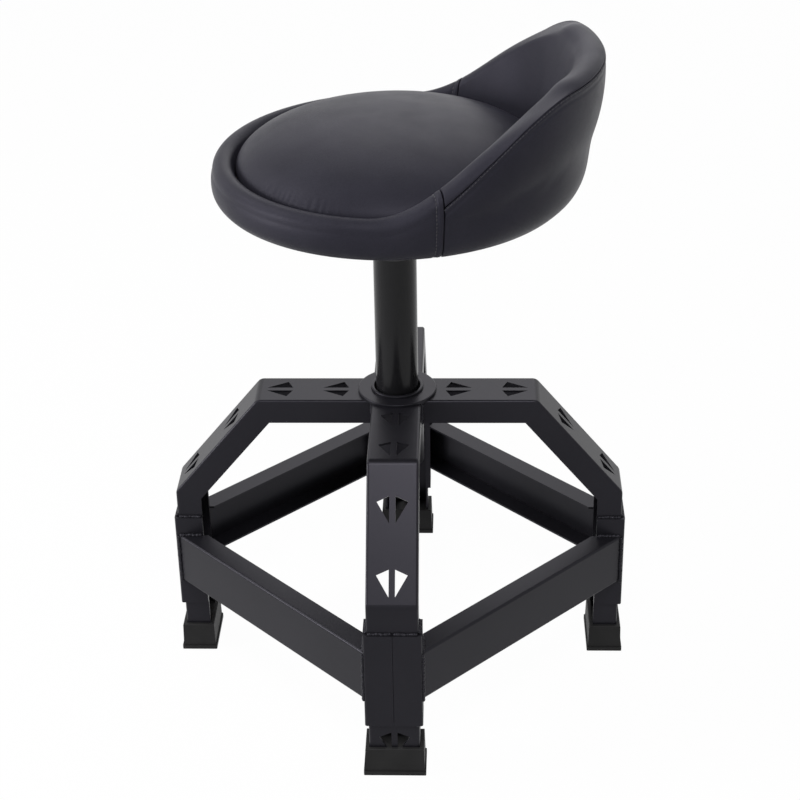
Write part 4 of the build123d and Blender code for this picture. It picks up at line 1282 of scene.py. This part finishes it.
def weld_paths(fixing):
    """Paths of the weld beads of one side of the stool, by the solids that they stand for."""
    reach, half, leg_top = leg_high.x, leg_high.y, leg_high.z
    top, bottom, plate = bracket_high.z, bracket_low.z, bracket_high.y
    bar_low, bar_high = stretcher_low.z, stretcher_high.z
    x, y, z = Vector((1, 0, 0)), Vector((0, 1, 0)), Vector((0, 0, 1))
    lift = fixing.bead * 0.30
    corner = reach + fixing.bead * 0.15
    edge = fixing.edge_radius
    inner_end, outer_end = reach - fixing.leg_depth + fixing.end_gap, reach - edge
    brackets, stretchers = [], []
    for side in (1, -1):
        face, plate_out = side * half, side * plate
        face_end = side * (half - edge)
        tack_start = face_end - side * fixing.tack
        web = Vector((-1, side, 0)).normalized()
        brackets += [
            straight_bead((reach, side * fixing.end_gap, top), (reach, face_end, top), x, z, lift),
            straight_bead((reach, tack_start, bottom), (reach, face_end, bottom), x, -z, lift),
            straight_bead((inner_end, face, top), (outer_end, face, top), side * y, z, lift),
        ]
        stretchers += [
            straight_bead((corner, plate_out, bar_low), (corner, plate_out, bar_high - edge), x, web, lift),
            straight_bead((inner_end, plate_out, bar_high), (outer_end, plate_out, bar_high),
                          side * y, z, lift),
        ]
    hub = [straight_bead((half, half, leg_top - fixing.leg_depth), (half, half, leg_top - edge), x, y, lift)]
    return {"bracket_welds": brackets, "stretcher_welds": stretchers, "hub_welds": hub}


class StoolWeldOperator(Operator):
    """Makes the rippled weld beads on the brackets, stretchers and hub"""

    bl_idname = "stool.welds"
    bl_label = "Welds"

    def execute(self, context):
        fixing = context.scene.stool_fixing
        # Each ripple is longer than the pitch, so that it runs into the next
        ripple = (fixing.ripple_pitch * 2.4, fixing.bead * 1.55, fixing.bead * 1.15)
        for node, paths in weld_paths(fixing).items():
            all_round = []
            for quarter in range(4):
                turn = Matrix.Rotation(pi / 2 * quarter, 3, "Z")
                all_round += [[(turn @ point, turn @ normal) for point, normal in path] for path in paths]
            name = node.replace("_welds", "_weld_beads")
            beads = grow(
                name, path_mesh(name, all_round), beads_on_paths, Pitch=fixing.ripple_pitch, Bead_size=ripple,
                Wander=fixing.ripple_wander, Size_change=0.22, Seed=11, Finish=finish("frame_paint"),
            )
            dress(beads, "base", "frame_paint", node)
        return {"FINISHED"}


# Plain white, what the lamps point at, and where the camera stands
white = (1.0, 1.0, 1.0, 1.0)
lamp_aim = Vector((0.0, 0.0, 0.45))
camera_place = Matrix((
    (0.9994, -0.0003, 0.0346, 0.0813),
    (0.0303, 0.4860, -0.8734, -1.9794),
    (-0.0166, 0.8739, 0.4858, 1.4424),
    (0.0, 0.0, 0.0, 1.0),
))


def sees_white(tree):
    """1 for a ray that should meet plain white: the camera's own, or one in gloss or glass."""
    rays = tree.nodes.new("ShaderNodeLightPath").outputs
    through = calculate(tree, "ADD", rays["Is Glossy Ray"], rays["Is Transmission Ray"], use_clamp=True)
    return calculate(tree, "ADD", rays["Is Camera Ray"], through, use_clamp=True)


def floor_material(stage):
    """A matt pale floor that the camera sees as white, and that keeps a little of the stool's shadow."""
    material = bpy.data.materials.new("floor")
    material.use_nodes = True
    tree = material.node_tree
    tree.nodes.clear()
    matt = add_node(tree, "ShaderNodeBsdfDiffuse", Color=rgba(stage.floor))
    glow = add_node(tree, "ShaderNodeEmission", Color=white, Strength=1.0)
    share_white = calculate(tree, "MULTIPLY", sees_white(tree), stage.floor_glow)
    mix = add_node(tree, "ShaderNodeMixShader", i0=share_white, i1=matt, i2=glow)
    add_node(tree, "ShaderNodeOutputMaterial", Surface=mix)
    return material


def room_light(stage):
    """Pale light from all round, which the camera, gloss and glass see as white."""
    world = bpy.data.worlds.new("room")
    world.use_nodes = True
    tree = world.node_tree
    tree.nodes.clear()
    strength = add_node(tree, "ShaderNodeMapRange", Value=sees_white(tree), To_Min=stage.sky, To_Max=1.0)
    sky = add_node(tree, "ShaderNodeBackground", Color=white, Strength=strength)
    add_node(tree, "ShaderNodeOutputWorld", Surface=sky)
    return world


class StoolStageOperator(Operator):
    """Sets up the pale floor, the room light, the lamps and the camera"""

    bl_idname = "stool.stage"
    bl_label = "Stage"

    def execute(self, context):
        scene, stage = context.scene, context.scene.stool_stage
        half = stage.floor_size / 2
        corners = [(-half, -half, 0), (half, -half, 0), (half, half, 0), (-half, half, 0)]
        mesh = bpy.data.meshes.new("floor")
        mesh.from_pydata(corners, [], [(0, 1, 2, 3)])
        new_piece("floor", mesh, floor_material(stage))
        scene.world = room_light(stage)

        for name, place, width, power, tint in (
            ("front_lamp", (0.1, -1.7, 2.7), 1.0, stage.front_lamp, (1.0, 0.98, 1.0)),
            ("left_lamp", (-2.1, 0.5, 2.4), 1.0, stage.left_lamp, (1.0, 0.98, 1.0)),
            ("side_lamp", (-2.6, -0.6, 1.0), 1.0, stage.side_lamp, (1.0, 0.98, 1.0)),
            ("back_lamp", (0.2, 2.6, 2.0), 2.2, stage.back_lamp, (0.96, 0.94, 1.0)),
        ):
            lamp = bpy.data.lights.new(name, "AREA")
            lamp.shape, lamp.size, lamp.energy, lamp.color = "DISK", width, power, tint
            holder = new_piece(name, lamp)
            holder.location = place
            holder.rotation_euler = (Vector(place) - lamp_aim).to_track_quat("Z", "Y").to_euler()

        camera = new_piece("camera", bpy.data.cameras.new("camera"))
        camera.data.lens = stage.lens
        camera.data.sensor_width = 36.0
        camera.data.sensor_fit = "HORIZONTAL"
        camera.matrix_world = camera_place
        scene.camera = camera
        scene.view_settings.view_transform = "Standard"
        return {"FINISHED"}


operators = (StoolFinishOperator, StoolCushionOperator, StoolRollOperator, StoolLiningOperator,
             StoolWeldOperator, StoolStageOperator)
groups = {
    "stool_seat": StoolSeatSizes,
    "stool_sewing": StoolSewing,
    "stool_fixing": StoolFixing,
    "stool_finishes": StoolFinishes,
    "stool_stage": StoolStageSettings,
}


class StoolPanel(Panel):
    """Sizes and steps of the shop stool"""

    bl_idname = "VIEW3D_PT_stool"
    bl_label = "Shop stool"
    bl_space_type = "VIEW_3D"
    bl_region_type = "UI"
    bl_category = "Stool"

    def draw(self, context):
        for operator in operators:
            self.layout.operator(operator.bl_idname)
        for name, group in groups.items():
            box = self.layout.box()
            box.label(text=group.__name__)
            for label in group.__annotations__:
                box.prop(getattr(context.scene, name), label)


def register():
    for group in (*groups.values(), *operators, StoolPanel):
        bpy.utils.register_class(group)
    for name, group in groups.items():
        setattr(bpy.types.Scene, name, PointerProperty(type=group))


def unregister():
    for name in groups:
        delattr(bpy.types.Scene, name)
    for group in (StoolPanel, *reversed(operators), *reversed(groups.values())):
        bpy.utils.unregister_class(group)


def main():
    register()
    for operator in operators:
        family, name = operator.bl_idname.split(".")
        getattr(getattr(bpy.ops, family), name)()


if __name__ == "__main__":
    main()
